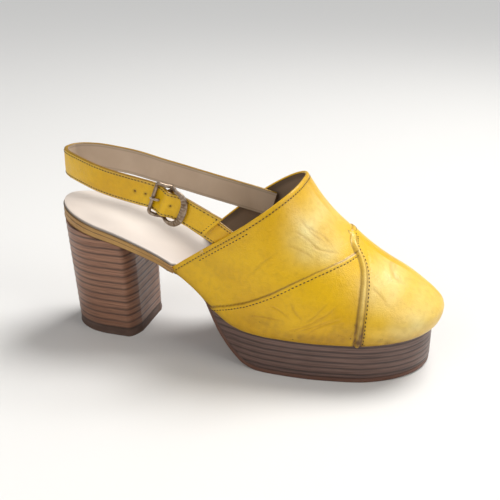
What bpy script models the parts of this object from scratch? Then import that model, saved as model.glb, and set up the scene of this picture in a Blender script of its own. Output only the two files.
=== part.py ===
"""A right platform slingback clog in golden leather, on a stacked block heel.

The shoe stands on z = 0 with its toe towards +X and its outer (lateral) side towards -Y.
All lengths are metres. While it is modelled, x is measured forward from the back of the heel
seat; the last step carries everything to the middle of the shoe's own box.
"""
import math

import bpy
import bmesh
import numpy as np

# Driving sizes of the last
SHOE_LENGTH = 0.2446
BALL_LATERAL = 0.0452
BALL_MEDIAL = 0.0420
SEAT_HEIGHT = 0.0752
PLATFORM_HEIGHT = 0.0246
INSTEP_HEIGHT = 0.1100
INSTEP_X = 0.1580
TOPLINE_END_X = 0.0836
HEEL_ROUND = 0.036
TOE_ROUND = 0.044
TOE_SPRING = 0.0014
TOE_SHIFT = 0.0050
TOE_PUFF = 0.0105
PUFF_SIDE = 0.0090
TUCK_SIDE = 0.0014
TUCK_TOE = 0.0060
TOPLINE_BOW = 0.0050

# Walls, layers and clearances
GAP = 0.0003
WALL = 0.0020
LAP = 0.0008
CORD_RADIUS = 0.0017
BOARD_HEEL = 0.0068
BOARD_FRONT = 0.0034
SOCK = 0.0013
SOCK_INSET = 0.0010
OUTSOLE = 0.0028
SHANK_INSET = 0.0050
SOLE_INSET = 0.0010
PLATFORM_LAYER = 0.0037
LAYER_GROOVE = 0.00035

# Heel
HEEL_BREAST_X = 0.0525
HEEL_BREAST_FLARE = 0.0028
HEEL_BACK_TOP = 0.0010
HEEL_BACK_BOTTOM = 0.0062
HEEL_HALF_TOP = 0.0288
HEEL_HALF_BOTTOM = 0.0256
HEEL_CORNER = 0.0075
HEEL_LIFT = 0.0047
TOP_PIECE = 0.0055
TOP_PIECE_EDGE = 0.0004

# Straps and buckle
STRAP_WIDTH = 0.0170
STRAP_THICK = 0.0024
STRAP_TAIL_WIDTH = 0.0163
TAB_WIDTH = 0.0150
TAB_THICK = 0.0020
TIP_SLANT = 0.0075
BUCKLE_WIRE = 0.0011
BUCKLE_BACK = 0.0080
BUCKLE_FRONT = 0.0125
BUCKLE_HALF = 0.0102
BUCKLE_BAND = 0.0022
BAR_ALONG = 0.3320
BAR_RADIUS = 0.0010
BAR_DEPTH = 0.0017
EYE_WALL = 0.0010
PRONG_RADIUS = 0.0008

# How finely the curved faces are divided
UPPER_ROWS = 27
UPPER_COLUMNS = 13
TUCK_COLUMNS = 4
SOLE_STATIONS = 44
WIRE_SIDES = 8
BAR_SIDES = 12

# Plan of the last: how far along, then the half widths and the middle line's shift
PLAN = [
    # along, lateral, medial, shift
    (0.000, 0.655, 0.660, 0.00),
    (0.180, 0.662, 0.668, 0.00),
    (0.290, 0.655, 0.628, 0.00),
    (0.342, 0.664, 0.606, 0.00),
    (0.390, 0.685, 0.645, 0.00),
    (0.450, 0.750, 0.735, 0.00),
    (0.511, 0.872, 0.835, 0.00),
    (0.556, 0.953, 0.900, 0.00),
    (0.605, 0.996, 0.955, 0.00),
    (0.650, 1.000, 0.986, 0.00),
    (0.700, 0.990, 1.000, 0.00),
    (0.760, 0.958, 0.970, 0.10),
    (0.820, 0.928, 0.890, 0.35),
    (0.880, 0.920, 0.800, 0.70),
    (0.940, 0.930, 0.730, 0.95),
    (1.000, 0.930, 0.690, 1.00),
]

# Underside of the insole board: how far along, then the rise from platform to heel seat
BOARD_LINE = [
    # along, rise
    (0.000, 1.010),
    (0.065, 0.935),
    (0.123, 0.875),
    (0.180, 0.812),
    (0.253, 0.703),
    (0.303, 0.615),
    (0.342, 0.530),
    (0.386, 0.385),
    (0.425, 0.232),
    (0.460, 0.118),
    (0.500, 0.030),
    (0.545, 0.000),
    (0.700, 0.000),
    (1.000, 0.000),
]

# Crest of the upper, from the top of the topline to the tip of the toe
CREST = [
    # along, height
    (0.000, 1.000),
    (0.100, 0.842),
    (0.200, 0.718),
    (0.330, 0.590),
    (0.430, 0.492),
    (0.580, 0.372),
    (0.735, 0.275),
    (0.850, 0.190),
    (0.935, 0.115),
    (0.985, 0.052),
    (1.000, 0.000),
]

# Under face of the outsole: how far along, then its height
SOLE_LINE = [
    # along, share of platform height
    (0.420, 1.345),
    (0.441, 1.030),
    (0.474, 0.590),
    (0.505, 0.290),
    (0.538, 0.075),
    (0.570, 0.000),
]


def smooth(x, table, column):
    """Monotone cubic through a table's column: flat at turning points, no overshoot."""
    rows = np.array(table, float)
    xs = rows[:, 0]
    ys = rows[:, column]
    step = np.diff(xs)
    slope = np.diff(ys) / step
    before = slope[:-1]
    after = slope[1:]
    first = 2.0 * step[1:] + step[:-1]
    last = step[1:] + 2.0 * step[:-1]
    same = before * after > 0.0
    safe_before = np.where(same, before, 1.0)
    safe_after = np.where(same, after, 1.0)
    middle = (first + last) / (first / safe_before + last / safe_after)
    tangent = np.concatenate(([slope[0]], np.where(same, middle, 0.0), [slope[-1]]))
    x = np.clip(np.asarray(x, float), xs[0], xs[-1])
    i = np.clip(np.searchsorted(xs, x, side="right") - 1, 0, len(step) - 1)
    t = (x - xs[i]) / step[i]
    h = step[i]
    start = (1.0 + 2.0 * t) * (1.0 - t) ** 2 * ys[i] + t * (1.0 - t) ** 2 * h * tangent[i]
    end = t * t * (3.0 - 2.0 * t) * ys[i + 1] + t * t * (t - 1.0) * h * tangent[i + 1]
    return start + end


def round_end(distance, radius, power=2.0):
    """Share of the full width at a distance from a round end: 0 at the tip, 1 past the radius."""
    left = 1.0 - np.clip(np.asarray(distance, float) / radius, 0.0, 1.0)
    return (1.0 - left ** power) ** (1.0 / power)


def middle_line(x):
    """The plan's middle line, which swings inwards at the toe."""
    return smooth(np.asarray(x) / SHOE_LENGTH, PLAN, 3) * TOE_SHIFT


def full_width(x, side):
    """Half width of the last without its round ends, on side -1 (lateral) or +1 (medial)."""
    if side < 0:
        return smooth(np.asarray(x) / SHOE_LENGTH, PLAN, 1) * BALL_LATERAL
    return smooth(np.asarray(x) / SHOE_LENGTH, PLAN, 2) * BALL_MEDIAL


def outline(x, side, inset=0.0, start=0.0, end=SHOE_LENGTH):
    """y of the last's plan: middle line, then the width less an inset, with round heel and toe."""
    ends = round_end(x - start, HEEL_ROUND) * round_end(end - x, TOE_ROUND)
    return middle_line(x) + side * (full_width(x, side) - inset) * ends


def board_under(x):
    """Height of the insole board's underside, which is also the upper's lower edge."""
    rise = smooth(np.asarray(x) / SHOE_LENGTH, BOARD_LINE, 1)
    spring = np.clip((np.asarray(x) / SHOE_LENGTH - 0.72) / 0.28, 0.0, 1.0) ** 1.5
    return PLATFORM_HEIGHT + (SEAT_HEIGHT - PLATFORM_HEIGHT) * rise + TOE_SPRING * spring


def board_thickness(x):
    """The board is thick at the heel seat and thins to the ball."""
    share = np.clip(np.asarray(x) / TOPLINE_END_X, 0.0, 1.0)
    return BOARD_HEEL + (BOARD_FRONT - BOARD_HEEL) * share ** 1.4


def station_row(start, end, count):
    """Places between two ends, crowded at both ends where a round end turns."""
    turn = np.linspace(0.0, math.pi, count)
    return start + (end - start) * (1.0 - np.cos(turn)) / 2.0


def make_material(name, colour, roughness, metallic=0.0):
    material = bpy.data.materials.new(name)
    material.use_nodes = True
    shader = material.node_tree.nodes["Principled BSDF"]
    shader.inputs["Base Color"].default_value = (*colour, 1.0)
    shader.inputs["Roughness"].default_value = roughness
    shader.inputs["Metallic"].default_value = metallic
    material.diffuse_color = (*colour, 1.0)
    return material


def make_object(name, mesh, collection, material=None):
    """Merge doubles, turn faces outwards, shade, and put the object in its collection."""
    work = bmesh.new()
    work.from_mesh(mesh)
    bmesh.ops.remove_doubles(work, verts=work.verts, dist=0.00002)
    bmesh.ops.dissolve_degenerate(work, edges=work.edges, dist=0.00001)
    bmesh.ops.recalc_face_normals(work, faces=work.faces)
    work.to_mesh(mesh)
    work.free()
    item = bpy.data.objects.new(name, mesh)
    collection.objects.link(item)
    if material is not None:
        mesh.materials.append(material)
        item.parent = shoe_frame
        mesh.shade_smooth()
        mesh.set_sharp_from_angle(angle=math.radians(40.0))
    else:
        item.hide_render = True
        item.display_type = "WIRE"
    return item


def grid_mesh(name, points, closed_rows=False, caps=False):
    """Mesh over an array of points [row, column, xyz]; rows may close and end rings be capped."""
    rows, columns, _ = points.shape
    mesh = bpy.data.meshes.new(name)
    index = np.arange(rows * columns).reshape(rows, columns)
    last = columns if closed_rows else columns - 1
    right = np.roll(index, -1, axis=1)
    quads = np.stack([index[:-1, :last], right[:-1, :last], right[1:, :last], index[1:, :last]], axis=-1)
    faces = quads.reshape(-1, 4).tolist()
    if caps:
        faces.append(index[0].tolist())
        faces.append(index[-1].tolist())
    mesh.from_pydata(points.reshape(-1, 3).tolist(), [], faces)
    mesh.validate()
    return mesh


def apply_boolean(item, cutter, operation, solver="EXACT"):
    """Join or cut and keep the result in the object's own mesh."""
    modifier = item.modifiers.new(operation.lower(), "BOOLEAN")
    modifier.object = cutter
    modifier.operation = operation
    modifier.solver = solver
    apply_modifiers(item)


def drop_crumbs(item):
    """Keep the largest connected piece of a cut mesh."""
    work = bmesh.new()
    work.from_mesh(item.data)
    left = set(work.verts)
    pieces = []
    while left:
        piece = set()
        front = [left.pop()]
        while front:
            vert = front.pop()
            piece.add(vert)
            linked = {edge.other_vert(vert) for edge in vert.link_edges} & left
            left -= linked
            front.extend(linked)
        pieces.append(piece)
    pieces.sort(key=len)
    crumbs = [vert for piece in pieces[:-1] for vert in piece]
    bmesh.ops.delete(work, geom=crumbs, context="VERTS")
    work.to_mesh(item.data)
    work.free()


def apply_modifiers(item):
    """Keep the evaluated mesh as the object's own."""
    bpy.context.view_layer.update()
    graph = bpy.context.evaluated_depsgraph_get()
    result = bpy.data.meshes.new_from_object(item.evaluated_get(graph))
    item.modifiers.clear()
    old = item.data
    item.data = result
    bpy.data.meshes.remove(old)


# Upper: a fan of hoops, each from the widest line at one side over the crest to the other side

# How square the hoops are, from the topline to the toe
HOOP_POWER = [
    # along, power
    (0.000, 2.90),
    (0.250, 2.60),
    (0.500, 2.35),
    (0.750, 2.15),
    (1.000, 2.00),
]

# Seams in side view: share of the length, share of the instep height
RAISED_SEAM = [
    (0.8150, 0.2360),
    (0.8182, 0.3000),
    (0.8186, 0.4110),
    (0.8162, 0.5219),
    (0.8108, 0.5799),
    (0.8032, 0.6157),
    (0.7879, 0.6600),
    (0.7745, 0.6990),
    (0.7665, 0.7290),
]
OUTER_LAP = [
    (0.4250, 0.2850),
    (0.4594, 0.3030),
    (0.5079, 0.3620),
    (0.5547, 0.4167),
    (0.6041, 0.4797),
    (0.6485, 0.5334),
    (0.6675, 0.5700),
    (0.7046, 0.6087),
    (0.7275, 0.6290),
    (0.7574, 0.6440),
    (0.7879, 0.6596),
]
INNER_LAP = [
    (0.4200, 0.2400),
    (0.5400, 0.4000),
    (0.6600, 0.5700),
    (0.7640, 0.7230),
]


def puff(x):
    """Height of the widest line above the lower edge; it grows from nothing at the topline's end."""
    share = np.clip((np.asarray(x) - TOPLINE_END_X) / (0.2 * SHOE_LENGTH), 0.0, 1.0)
    toe = np.clip((np.asarray(x) / SHOE_LENGTH - 0.75) / 0.25, 0.0, 1.0)
    return PUFF_SIDE * (0.35 + 0.65 * share) + (TOE_PUFF - PUFF_SIDE) * toe


def tuck(x):
    """How far the lower edge lies inside the widest line at the sides."""
    share = np.clip((np.asarray(x) - TOPLINE_END_X) / (0.2 * SHOE_LENGTH), 0.0, 1.0)
    return TUCK_SIDE * (0.4 + 0.6 * share)


def widest_height(x):
    return board_under(x) + puff(x)


def hoop_feet_x(e):
    return TOPLINE_END_X + (SHOE_LENGTH - TOPLINE_END_X) * e


def hoop_crest_x(e):
    return INSTEP_X + (SHOE_LENGTH - INSTEP_X) * e


def crest_height(e):
    low = widest_height(SHOE_LENGTH)
    return low + (INSTEP_HEIGHT - low) * smooth(e, CREST, 1)


def hoop_bow(e, up, side):
    """Rise of the topline's inner half above a straight line in side view; it fades forwards."""
    return (side + 1.0) / 2.0 * TOPLINE_BOW * 4.0 * up * (1.0 - up) * np.clip(1.0 - 2.5 * e, 0.0, 1.0) ** 2


def hoop_point(e, turn, side):
    """Point of hoop e at a turn from 0 (its foot) to 1 (its crest), on one side."""
    power = smooth(e, HOOP_POWER, 1)
    angle = np.clip(turn, 0.0, 1.0) * math.pi / 2.0
    up = np.sin(angle) ** (2.0 / power)
    out = np.clip(np.cos(angle), 0.0, 1.0) ** (2.0 / power)
    foot = hoop_feet_x(e)
    x = foot + (hoop_crest_x(e) - foot) * up
    z = widest_height(foot) + (crest_height(e) - widest_height(foot)) * up + hoop_bow(e, up, side)
    reach = (outline(x, side) - middle_line(x)) * out
    return np.stack([x, middle_line(x) + reach, z], axis=-1)


def tuck_point(e, down, side):
    """Point under the widest line, at a share down to the lower edge on a quarter ellipse."""
    top_x = hoop_feet_x(e)
    low_x = TOPLINE_END_X + (SHOE_LENGTH - TUCK_TOE - TOPLINE_END_X) * e
    top_y = outline(top_x, side)
    low_y = outline(low_x, side, tuck(low_x), 0.0, SHOE_LENGTH - TUCK_TOE)
    angle = down * math.pi / 2.0
    keep = np.cos(angle)
    x = low_x + (top_x - low_x) * keep
    y = low_y + (top_y - low_y) * keep
    z = widest_height(top_x) + (board_under(low_x) - widest_height(top_x)) * np.sin(angle)
    return np.stack([x, y, z], axis=-1)


def even_turns(e, side, count):
    """Turns that divide one hoop's half into even steps of length."""
    fine = np.linspace(0.0, 1.0, 400)
    points = hoop_point(np.full(fine.shape, e), fine, side)
    run = np.concatenate(([0.0], np.cumsum(np.linalg.norm(np.diff(points, axis=0), axis=1))))
    if run[-1] < 1e-9:
        return np.linspace(0.0, 1.0, count)
    return np.interp(np.linspace(0.0, run[-1], count), run, fine)


def upper_surface(stations, lower_shift):
    """Outer face of the upper [station, column]: lateral edge, crest, medial edge."""
    downs = np.linspace(1.0, 0.0, TUCK_COLUMNS + 1)[:-1]
    rows = []
    for station in stations:
        e = math.sin(station * math.pi / 2.0)
        sides = []
        for side in (-1, 1):
            tucked = tuck_point(np.full(downs.shape, e), downs, side)
            turns = even_turns(e, side, UPPER_COLUMNS)
            domed = hoop_point(np.full(turns.shape, e), turns, side)
            half = np.concatenate([tucked, domed])
            if lower_shift > 0.0:
                inner = tucked[:1] + np.array([[0.0, -side * 0.5 * lower_shift, -lower_shift]])
                half = np.concatenate([inner, half])
            sides.append(half)
        rows.append(np.concatenate([sides[0], sides[1][-2::-1]]))
    return np.array(rows)


def side_y(x, z, side):
    """y of the upper's outer face over a point (x, z) of the side view, by halving."""
    x = np.asarray(x, float)
    z = np.asarray(z, float)
    low = np.clip((x - INSTEP_X) / (SHOE_LENGTH - INSTEP_X), -0.3, 1.0)
    high = np.clip((x - TOPLINE_END_X) / (SHOE_LENGTH - TOPLINE_END_X), 0.0, 1.0)
    for _ in range(40):
        e = (low + high) / 2.0
        foot = hoop_feet_x(e)
        up = (x - foot) / (hoop_crest_x(e) - foot)
        height = widest_height(foot) + (crest_height(e) - widest_height(foot)) * up + hoop_bow(e, up, side)
        above = height > z
        low = np.where(above, e, low)
        high = np.where(above, high, e)
    foot = hoop_feet_x(e)
    up = np.clip((x - foot) / (hoop_crest_x(e) - foot), 0.0, 1.0)
    power = smooth(e, HOOP_POWER, 1)
    out = (1.0 - up ** power) ** (1.0 / power)
    width = outline(x, side) - middle_line(x)
    drop = np.clip((widest_height(x) - z) / puff(x), 0.0, 1.0)
    inward = tuck(x) * (1.0 - np.sqrt(1.0 - drop * drop))
    return middle_line(x) + width * out - side * inward


def side_curve(table, count):
    """Smooth side-view line through a seam's rows, as x and z in metres, evenly spaced."""
    rows = np.array(table, float)
    run = np.concatenate(([0.0], np.cumsum(np.linalg.norm(np.diff(rows, axis=0), axis=1))))
    keyed = np.column_stack([run, rows])
    t = np.linspace(0.0, run[-1], count)
    x = smooth(t, keyed, 1) * SHOE_LENGTH
    z = smooth(t, keyed, 2) * INSTEP_HEIGHT
    return x, z


def prism(name, outline_xz, y_from, y_to):
    """Closed solid between two planes of constant y, over a side-view outline."""
    flat = np.array(outline_xz, float)
    rings = []
    for y in (y_from, y_to):
        rings.append(np.column_stack([flat[:, 0], np.full(len(flat), y), flat[:, 1]]))
    return make_object(name, grid_mesh(name, np.array(rings), True, True), cutters)


def tube(name, path, radii, sides, collection, material=None):
    """Round closed bar along a path of points, with its own radius at each."""
    path = np.asarray(path, float)
    along = np.gradient(path, axis=0)
    along /= np.linalg.norm(along, axis=1)[:, None]
    seed = np.array([0.0, 0.0, 1.0])
    if abs(along[0] @ seed) > 0.9:
        seed = np.array([1.0, 0.0, 0.0])
    rings = []
    for centre, direction, radius in zip(path, along, radii):
        across = np.cross(direction, seed)
        across /= np.linalg.norm(across)
        seed = np.cross(across, direction)
        angles = np.arange(sides) * 2.0 * math.pi / sides
        rings.append(centre + radius * (np.cos(angles)[:, None] * across + np.sin(angles)[:, None] * seed))
    return make_object(name, grid_mesh(name, np.array(rings), True, True), collection, material)


def build_upper(material):
    """Hollow upper: the hoop surface given its wall, the top panel let down, the cord joined on."""
    stations = np.linspace(0.0, 1.0, UPPER_ROWS)
    surface = grid_mesh("upper", upper_surface(stations, 0.0))
    upper = make_object("upper", surface, parts, material)
    wall = upper.modifiers.new("wall", "SOLIDIFY")
    wall.thickness = WALL
    wall.offset = -1.0
    wall.use_even_offset = True

    # The instep panel lies under its neighbours: a skin of the outer face is taken off it
    longer = np.concatenate(([-0.05], stations))
    skin = make_object("panel_skin", grid_mesh("panel_skin", upper_surface(longer, 0.004)), cutters)
    depth = skin.modifiers.new("depth", "SOLIDIFY")
    depth.thickness = 2.5 * LAP
    depth.offset = 0.2
    depth.use_even_offset = True

    apply_modifiers(upper)
    apply_modifiers(skin)
    top = 1.5 * INSTEP_HEIGHT
    back = 0.5 * TOPLINE_END_X
    centre = middle_line(RAISED_SEAM[-1][0] * SHOE_LENGTH)
    x1, z1 = side_curve(OUTER_LAP, 12)
    x2, z2 = side_curve(RAISED_SEAM[-3:], 5)
    outer = [(back, z1[0])] + list(zip(x1[:-1], z1[:-1])) + list(zip(x2, z2)) + [(x2[-1], top), (back, top)]
    x3, z3 = side_curve(INNER_LAP, 12)
    inner = [(back, z3[0])] + list(zip(x3, z3)) + [(x3[-1], top + WALL), (back, top + WALL)]
    keep = prism("instep_panel_outer", outer, -2.0 * BALL_LATERAL, centre + WALL)
    other = prism("instep_panel_inner", inner, centre, 2.0 * BALL_MEDIAL)
    apply_boolean(keep, other, "UNION")
    apply_boolean(skin, keep, "INTERSECT", "MANIFOLD")
    apply_boolean(upper, skin, "DIFFERENCE", "MANIFOLD")
    drop_crumbs(upper)

    # Corded seam from the lower edge to the crest
    x, z = side_curve(RAISED_SEAM, 26)
    path = np.stack([x, side_y(x, z, -1), z], axis=-1)
    radii = np.full(len(path), CORD_RADIUS)
    cord = tube("seam_cord", path, radii, 8, cutters)
    apply_boolean(upper, cord, "UNION", "MANIFOLD")
    drop_crumbs(upper)
    return upper


def plank(name, x, lateral, medial, under, over, collection, material=None):
    """Flat-sided plank through sections at x, with its own y on each side and z below and above."""
    ring = [
        np.stack([x, lateral, under], axis=-1),
        np.stack([x, medial, under], axis=-1),
        np.stack([x, medial, over], axis=-1),
        np.stack([x, lateral, over], axis=-1),
    ]
    return make_object(name, grid_mesh(name, np.stack(ring, axis=1), True, True), collection, material)


def clear_of_wall(x):
    """Inset of what lies inside the upper; before the topline's end it is nothing."""
    inside = tuck(x) + WALL + 3.0 * GAP
    return np.where(np.asarray(x) < TOPLINE_END_X - 2.0 * GAP, 0.0, inside)


def board_stations():
    """Stations of the insole board, with a step in where the upper begins to cover its edge."""
    end = SHOE_LENGTH - TUCK_TOE - WALL - 4.0 * GAP
    step = TOPLINE_END_X - 2.0 * GAP
    heel = station_row(0.0, 2.0 * step, 29)[:15]
    fore = station_row(2.0 * step - end, end, 45)[22:]
    heel[-1] = step - GAP
    fore[0] = step + GAP
    return np.concatenate([heel, fore]), end


def build_board(material):
    """Insole board: full width under the heel, inside the upper in front of it."""
    x, end = board_stations()
    inset = clear_of_wall(x)
    low = board_under(x) + GAP
    sides = [outline(x, side, inset, 0.0, end) for side in (-1, 1)]
    return plank("insole_board", x, sides[0], sides[1], low, low + board_thickness(x) - GAP, parts, material)


def build_sock(material):
    """Sock: a thin pad on the board, just inside its edge."""
    x, end = board_stations()
    inset = np.maximum(clear_of_wall(x), SOCK_INSET)
    run = SOCK_INSET + x * (end - 2.0 * SOCK_INSET) / end
    low = board_under(run) + board_thickness(run) + GAP
    sides = [outline(x, side, inset, 0.0, end) for side in (-1, 1)]
    return plank("insole_sock", run, sides[0], sides[1], low, low + SOCK, parts, material)


def sole_under(x):
    """Height of the outsole's under face: shank, rear slope, flat tread and toe spring."""
    share = np.asarray(x) / SHOE_LENGTH
    front = smooth(share, SOLE_LINE, 1) * PLATFORM_HEIGHT
    shank = board_under(x) - 2.0 * GAP - 1.28 * OUTSOLE
    spring = np.clip((share - 0.80) / 0.20, 0.0, 1.0) ** 1.6 * TOE_SPRING
    return np.where(share < SOLE_LINE[0][0], shank, front) + spring


def sole_profile(count, lift):
    """Side-view line of the outsole, lifted square to its under face."""
    fine = np.linspace(HEEL_BREAST_X + HEEL_BREAST_FLARE + 2.0 * GAP, SHOE_LENGTH - TUCK_TOE, 900)
    height = sole_under(fine)
    run = np.concatenate(([0.0], np.cumsum(np.hypot(np.diff(fine), np.diff(height)))))
    t = np.sin(np.linspace(0.0, math.pi / 2.0, count)) * run[-1]
    x = np.interp(t, run, fine)
    z = np.interp(t, run, height)
    dx = np.gradient(x, t)
    dz = np.gradient(z, t)
    size = np.hypot(dx, dz)
    return x, z, x - dz / size * lift, z + dx / size * lift


def forefoot_width(x, side):
    """Plan of platform and outsole: the upper's lower edge, drawn in along the shank."""
    end = SHOE_LENGTH - TUCK_TOE
    share = np.clip((np.asarray(x) / SHOE_LENGTH - 0.40) / 0.07, 0.0, 1.0)
    blend = share * share * (3.0 - 2.0 * share)
    inset = TUCK_SIDE + SOLE_INSET + SHANK_INSET * (1.0 - blend)
    return outline(x, side, inset, 0.0, end)


def build_outsole(material):
    """Outsole: one thin strip from the heel breast down the rear slope to the toe."""
    x, under, top_x, top = sole_profile(SOLE_STATIONS, OUTSOLE)
    low = [np.stack([x, forefoot_width(x, side), under], axis=-1) for side in (-1, 1)]
    high = [np.stack([top_x, forefoot_width(x, side), top], axis=-1) for side in (1, -1)]
    ring = np.stack(low + high, axis=1)
    return make_object("outsole", grid_mesh("outsole", ring, True, True), parts, material)


def stacked(name, levels, ring_at, material):
    """Block of layers: at each level its outline, drawn in at the joints between layers."""
    rings = []
    for height, inset in levels:
        rings.append(ring_at(height, inset))
    return make_object(name, grid_mesh(name, np.array(rings), True, True), parts, material)


def layer_levels(low, high, pitch):
    """Heights of a stack with a shallow groove under each layer."""
    levels = [(low, 0.0)]
    height = low + pitch
    while height < high - 0.3 * pitch:
        levels.append((height - 0.13 * pitch, 0.0))
        levels.append((height, LAYER_GROOVE))
        levels.append((height + 0.13 * pitch, 0.0))
        height += pitch
    levels.append((high, 0.0))
    return levels


def build_platform(material):
    """Platform: a level stack, cut above by the last and behind and below by the outsole."""
    start = 0.425 * SHOE_LENGTH
    end = SHOE_LENGTH - TUCK_TOE
    x = start + (end - start) * np.sin(np.linspace(0.0, math.pi / 2.0, 25))

    def ring_at(height, inset):
        run = np.where(x > start, x - inset * ((x - start) / (end - start)) ** 2, x)
        sides = [forefoot_width(x, side) - side * inset for side in (-1, 1)]
        sides[0][-1] = sides[1][-1] = middle_line(end)
        lateral = np.stack([run, sides[0], np.full(x.shape, height)], axis=-1)
        medial = np.stack([run, sides[1], np.full(x.shape, height)], axis=-1)
        return np.concatenate([lateral, medial[-2::-1]])

    high = board_under(start) + OUTSOLE
    levels = layer_levels(OUTSOLE / 2.0, high, PLATFORM_LAYER)
    block = stacked("platform", levels, ring_at, material)

    run = np.linspace(0.9 * start, SHOE_LENGTH, 60)
    wide = np.full(run.shape, 2.0 * BALL_LATERAL)
    last = plank("last_cutter", run, -wide, wide, board_under(run) - GAP,
                 np.full(run.shape, 2.0 * SEAT_HEIGHT), cutters)
    apply_boolean(block, last, "DIFFERENCE")
    sole_x, _, top_x, top = sole_profile(SOLE_STATIONS, OUTSOLE + GAP)
    keep = sole_x > 0.8 * start
    top_x = np.append(top_x[keep], SHOE_LENGTH)
    top = np.append(top[keep], top[-1])
    wide = np.full(top_x.shape, 2.0 * BALL_LATERAL)
    below = plank("sole_cutter", top_x, -wide, wide, np.full(top_x.shape, -OUTSOLE), top, cutters)
    apply_boolean(block, below, "DIFFERENCE")
    drop_crumbs(block)
    return block


def heel_ring(height, inset, count=15):
    """Outline of the heel at a height: round back, straight sides, rounded corners, flat breast."""
    share = np.clip(height / SEAT_HEIGHT, 0.0, 1.2)
    back = HEEL_BACK_BOTTOM + (HEEL_BACK_TOP - HEEL_BACK_BOTTOM) * share + inset
    flare = np.clip(1.0 - share, 0.0, 1.0) ** 2
    breast = HEEL_BREAST_X + HEEL_BREAST_FLARE * flare - inset
    half = HEEL_HALF_BOTTOM + (HEEL_HALF_TOP - HEEL_HALF_BOTTOM) * share - inset
    x = station_row(back, breast, count)
    ends = round_end(x - back, HEEL_ROUND * 0.86, 2.1) * round_end(breast + 0.2 * HEEL_CORNER - x, HEEL_CORNER, 2.0)
    lateral = np.stack([x, -half * ends, np.full(x.shape, height)], axis=-1)
    medial = np.stack([x, half * ends, np.full(x.shape, height)], axis=-1)
    return np.concatenate([lateral, medial[:0:-1]])


def build_heel(material):
    """Heel: a level stack of lifts on the top piece, cut to the slope of the seat."""
    levels = layer_levels(TOP_PIECE + GAP, SEAT_HEIGHT + BOARD_HEEL, HEEL_LIFT)
    heel = stacked("heel", levels, heel_ring, material)
    run = np.linspace(-SEAT_HEIGHT / 4.0, TOPLINE_END_X, 40)
    wide = np.full(run.shape, 2.0 * BALL_LATERAL)
    seat = plank("seat_cutter", run, -wide, wide, board_under(run) - GAP,
                 np.full(run.shape, 2.0 * SEAT_HEIGHT), cutters)
    apply_boolean(heel, seat, "DIFFERENCE")
    return heel


def build_top_piece(material):
    """Rubber top piece under the heel, its lower edge worn round."""
    levels = [(0.0, TOP_PIECE_EDGE), (TOP_PIECE_EDGE, 0.0), (TOP_PIECE, 0.0)]
    return stacked("heel_top_piece", levels, heel_ring, material)


# Straps and buckle. Routes give the outer face at mid width, as shares of the shoe's length,
# of the ball's lateral half width and of the instep height

LONG_ROUTE = [
    # along, across, height
    (0.4520, -0.7590, 0.7790),
    (0.4250, -0.7430, 0.8030),
    (0.3760, -0.7080, 0.8470),
    (0.3400, -0.6840, 0.8755),
    (0.3110, -0.6680, 0.8970),
    (0.2900, -0.6560, 0.9095),
    (0.2600, -0.6370, 0.9180),
    (0.2170, -0.6070, 0.9290),
    (0.1720, -0.5690, 0.9420),
    (0.1270, -0.5080, 0.9570),
    (0.0900, -0.4200, 0.9680),
    (0.0560, -0.3150, 0.9740),
    (0.0300, -0.2180, 0.9770),
    (0.0090, -0.1000, 0.9790),
    (0.0000, 0.0300, 0.9790),
    (0.0040, 0.1800, 0.9780),
    (0.0220, 0.3000, 0.9760),
    (0.0620, 0.4000, 0.9690),
    (0.1100, 0.4620, 0.9530),
    (0.1550, 0.5050, 0.9350),
    (0.2290, 0.5600, 0.8920),
    (0.3070, 0.5850, 0.8540),
    (0.3800, 0.5860, 0.8210),
    (0.4400, 0.5950, 0.7930),
    (0.4900, 0.6350, 0.7640),
    (0.5350, 0.6726, 0.7360),
]
SHORT_ROUTE = [
    # along, across, height
    (0.3336, -0.6200, 0.8800),
    (0.3761, -0.6450, 0.8320),
    (0.4252, -0.6650, 0.7730),
    (0.4522, -0.6770, 0.7436),
    (0.4824, -0.7050, 0.7091),
    (0.5233, -0.7560, 0.6636),
]


def route_points(table, step):
    """Evenly spaced points of a strap's route, with their distance along it."""
    size = np.array([SHOE_LENGTH, BALL_LATERAL, INSTEP_HEIGHT])
    knots = np.array(table, float) * size
    run = np.concatenate(([0.0], np.cumsum(np.linalg.norm(np.diff(knots, axis=0), axis=1))))
    keyed = np.column_stack([run, knots])
    t = np.append(np.arange(0.0, run[-1] - 0.5 * step, step), run[-1])
    return t, np.stack([smooth(t, keyed, column) for column in (1, 2, 3)], axis=-1)


def strap_axes(points, facing):
    """Unit vectors along a route, out of its face (facing is 1 or -1) and up across its width."""
    along = np.gradient(points, axis=0)
    along /= np.linalg.norm(along, axis=1)[:, None]
    out = facing * np.cross(along, np.array([0.0, 0.0, 1.0]))
    out /= np.linalg.norm(out, axis=1)[:, None]
    up = np.cross(out, along)
    up *= np.sign(up[:, 2:])
    return along, out, up


def bar_place(points):
    """Index of the route's point over the buckle's bar, on the outer side of the shoe."""
    miss = np.abs(points[:, 0] - BAR_ALONG * SHOE_LENGTH)
    return int(np.argmin(np.where(points[:, 1] < 0.0, miss, SHOE_LENGTH)))


def strap_rise(distance):
    """How far the strap lifts over the short strap's fold, at a distance from the bar."""
    top = BAR_RADIUS + EYE_WALL + 2.0 * GAP - BAR_DEPTH + STRAP_THICK
    return top * np.exp(-(distance / (0.5 * BUCKLE_BACK)) ** 2)


def strap_solid(name, face, up, out, width, thickness, slant, material):
    """Flat band through its outer face's middle line; the slant moves its first end's corners."""
    half = width[:, None] / 2.0
    top = face + up * half
    bottom = face - up * half
    top[0] += slant
    bottom[0] -= slant
    depth = thickness * out
    ring = np.stack([bottom, top, top - depth, bottom - depth], axis=1)
    return make_object(name, grid_mesh(name, ring, True, True), parts, material)


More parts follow.
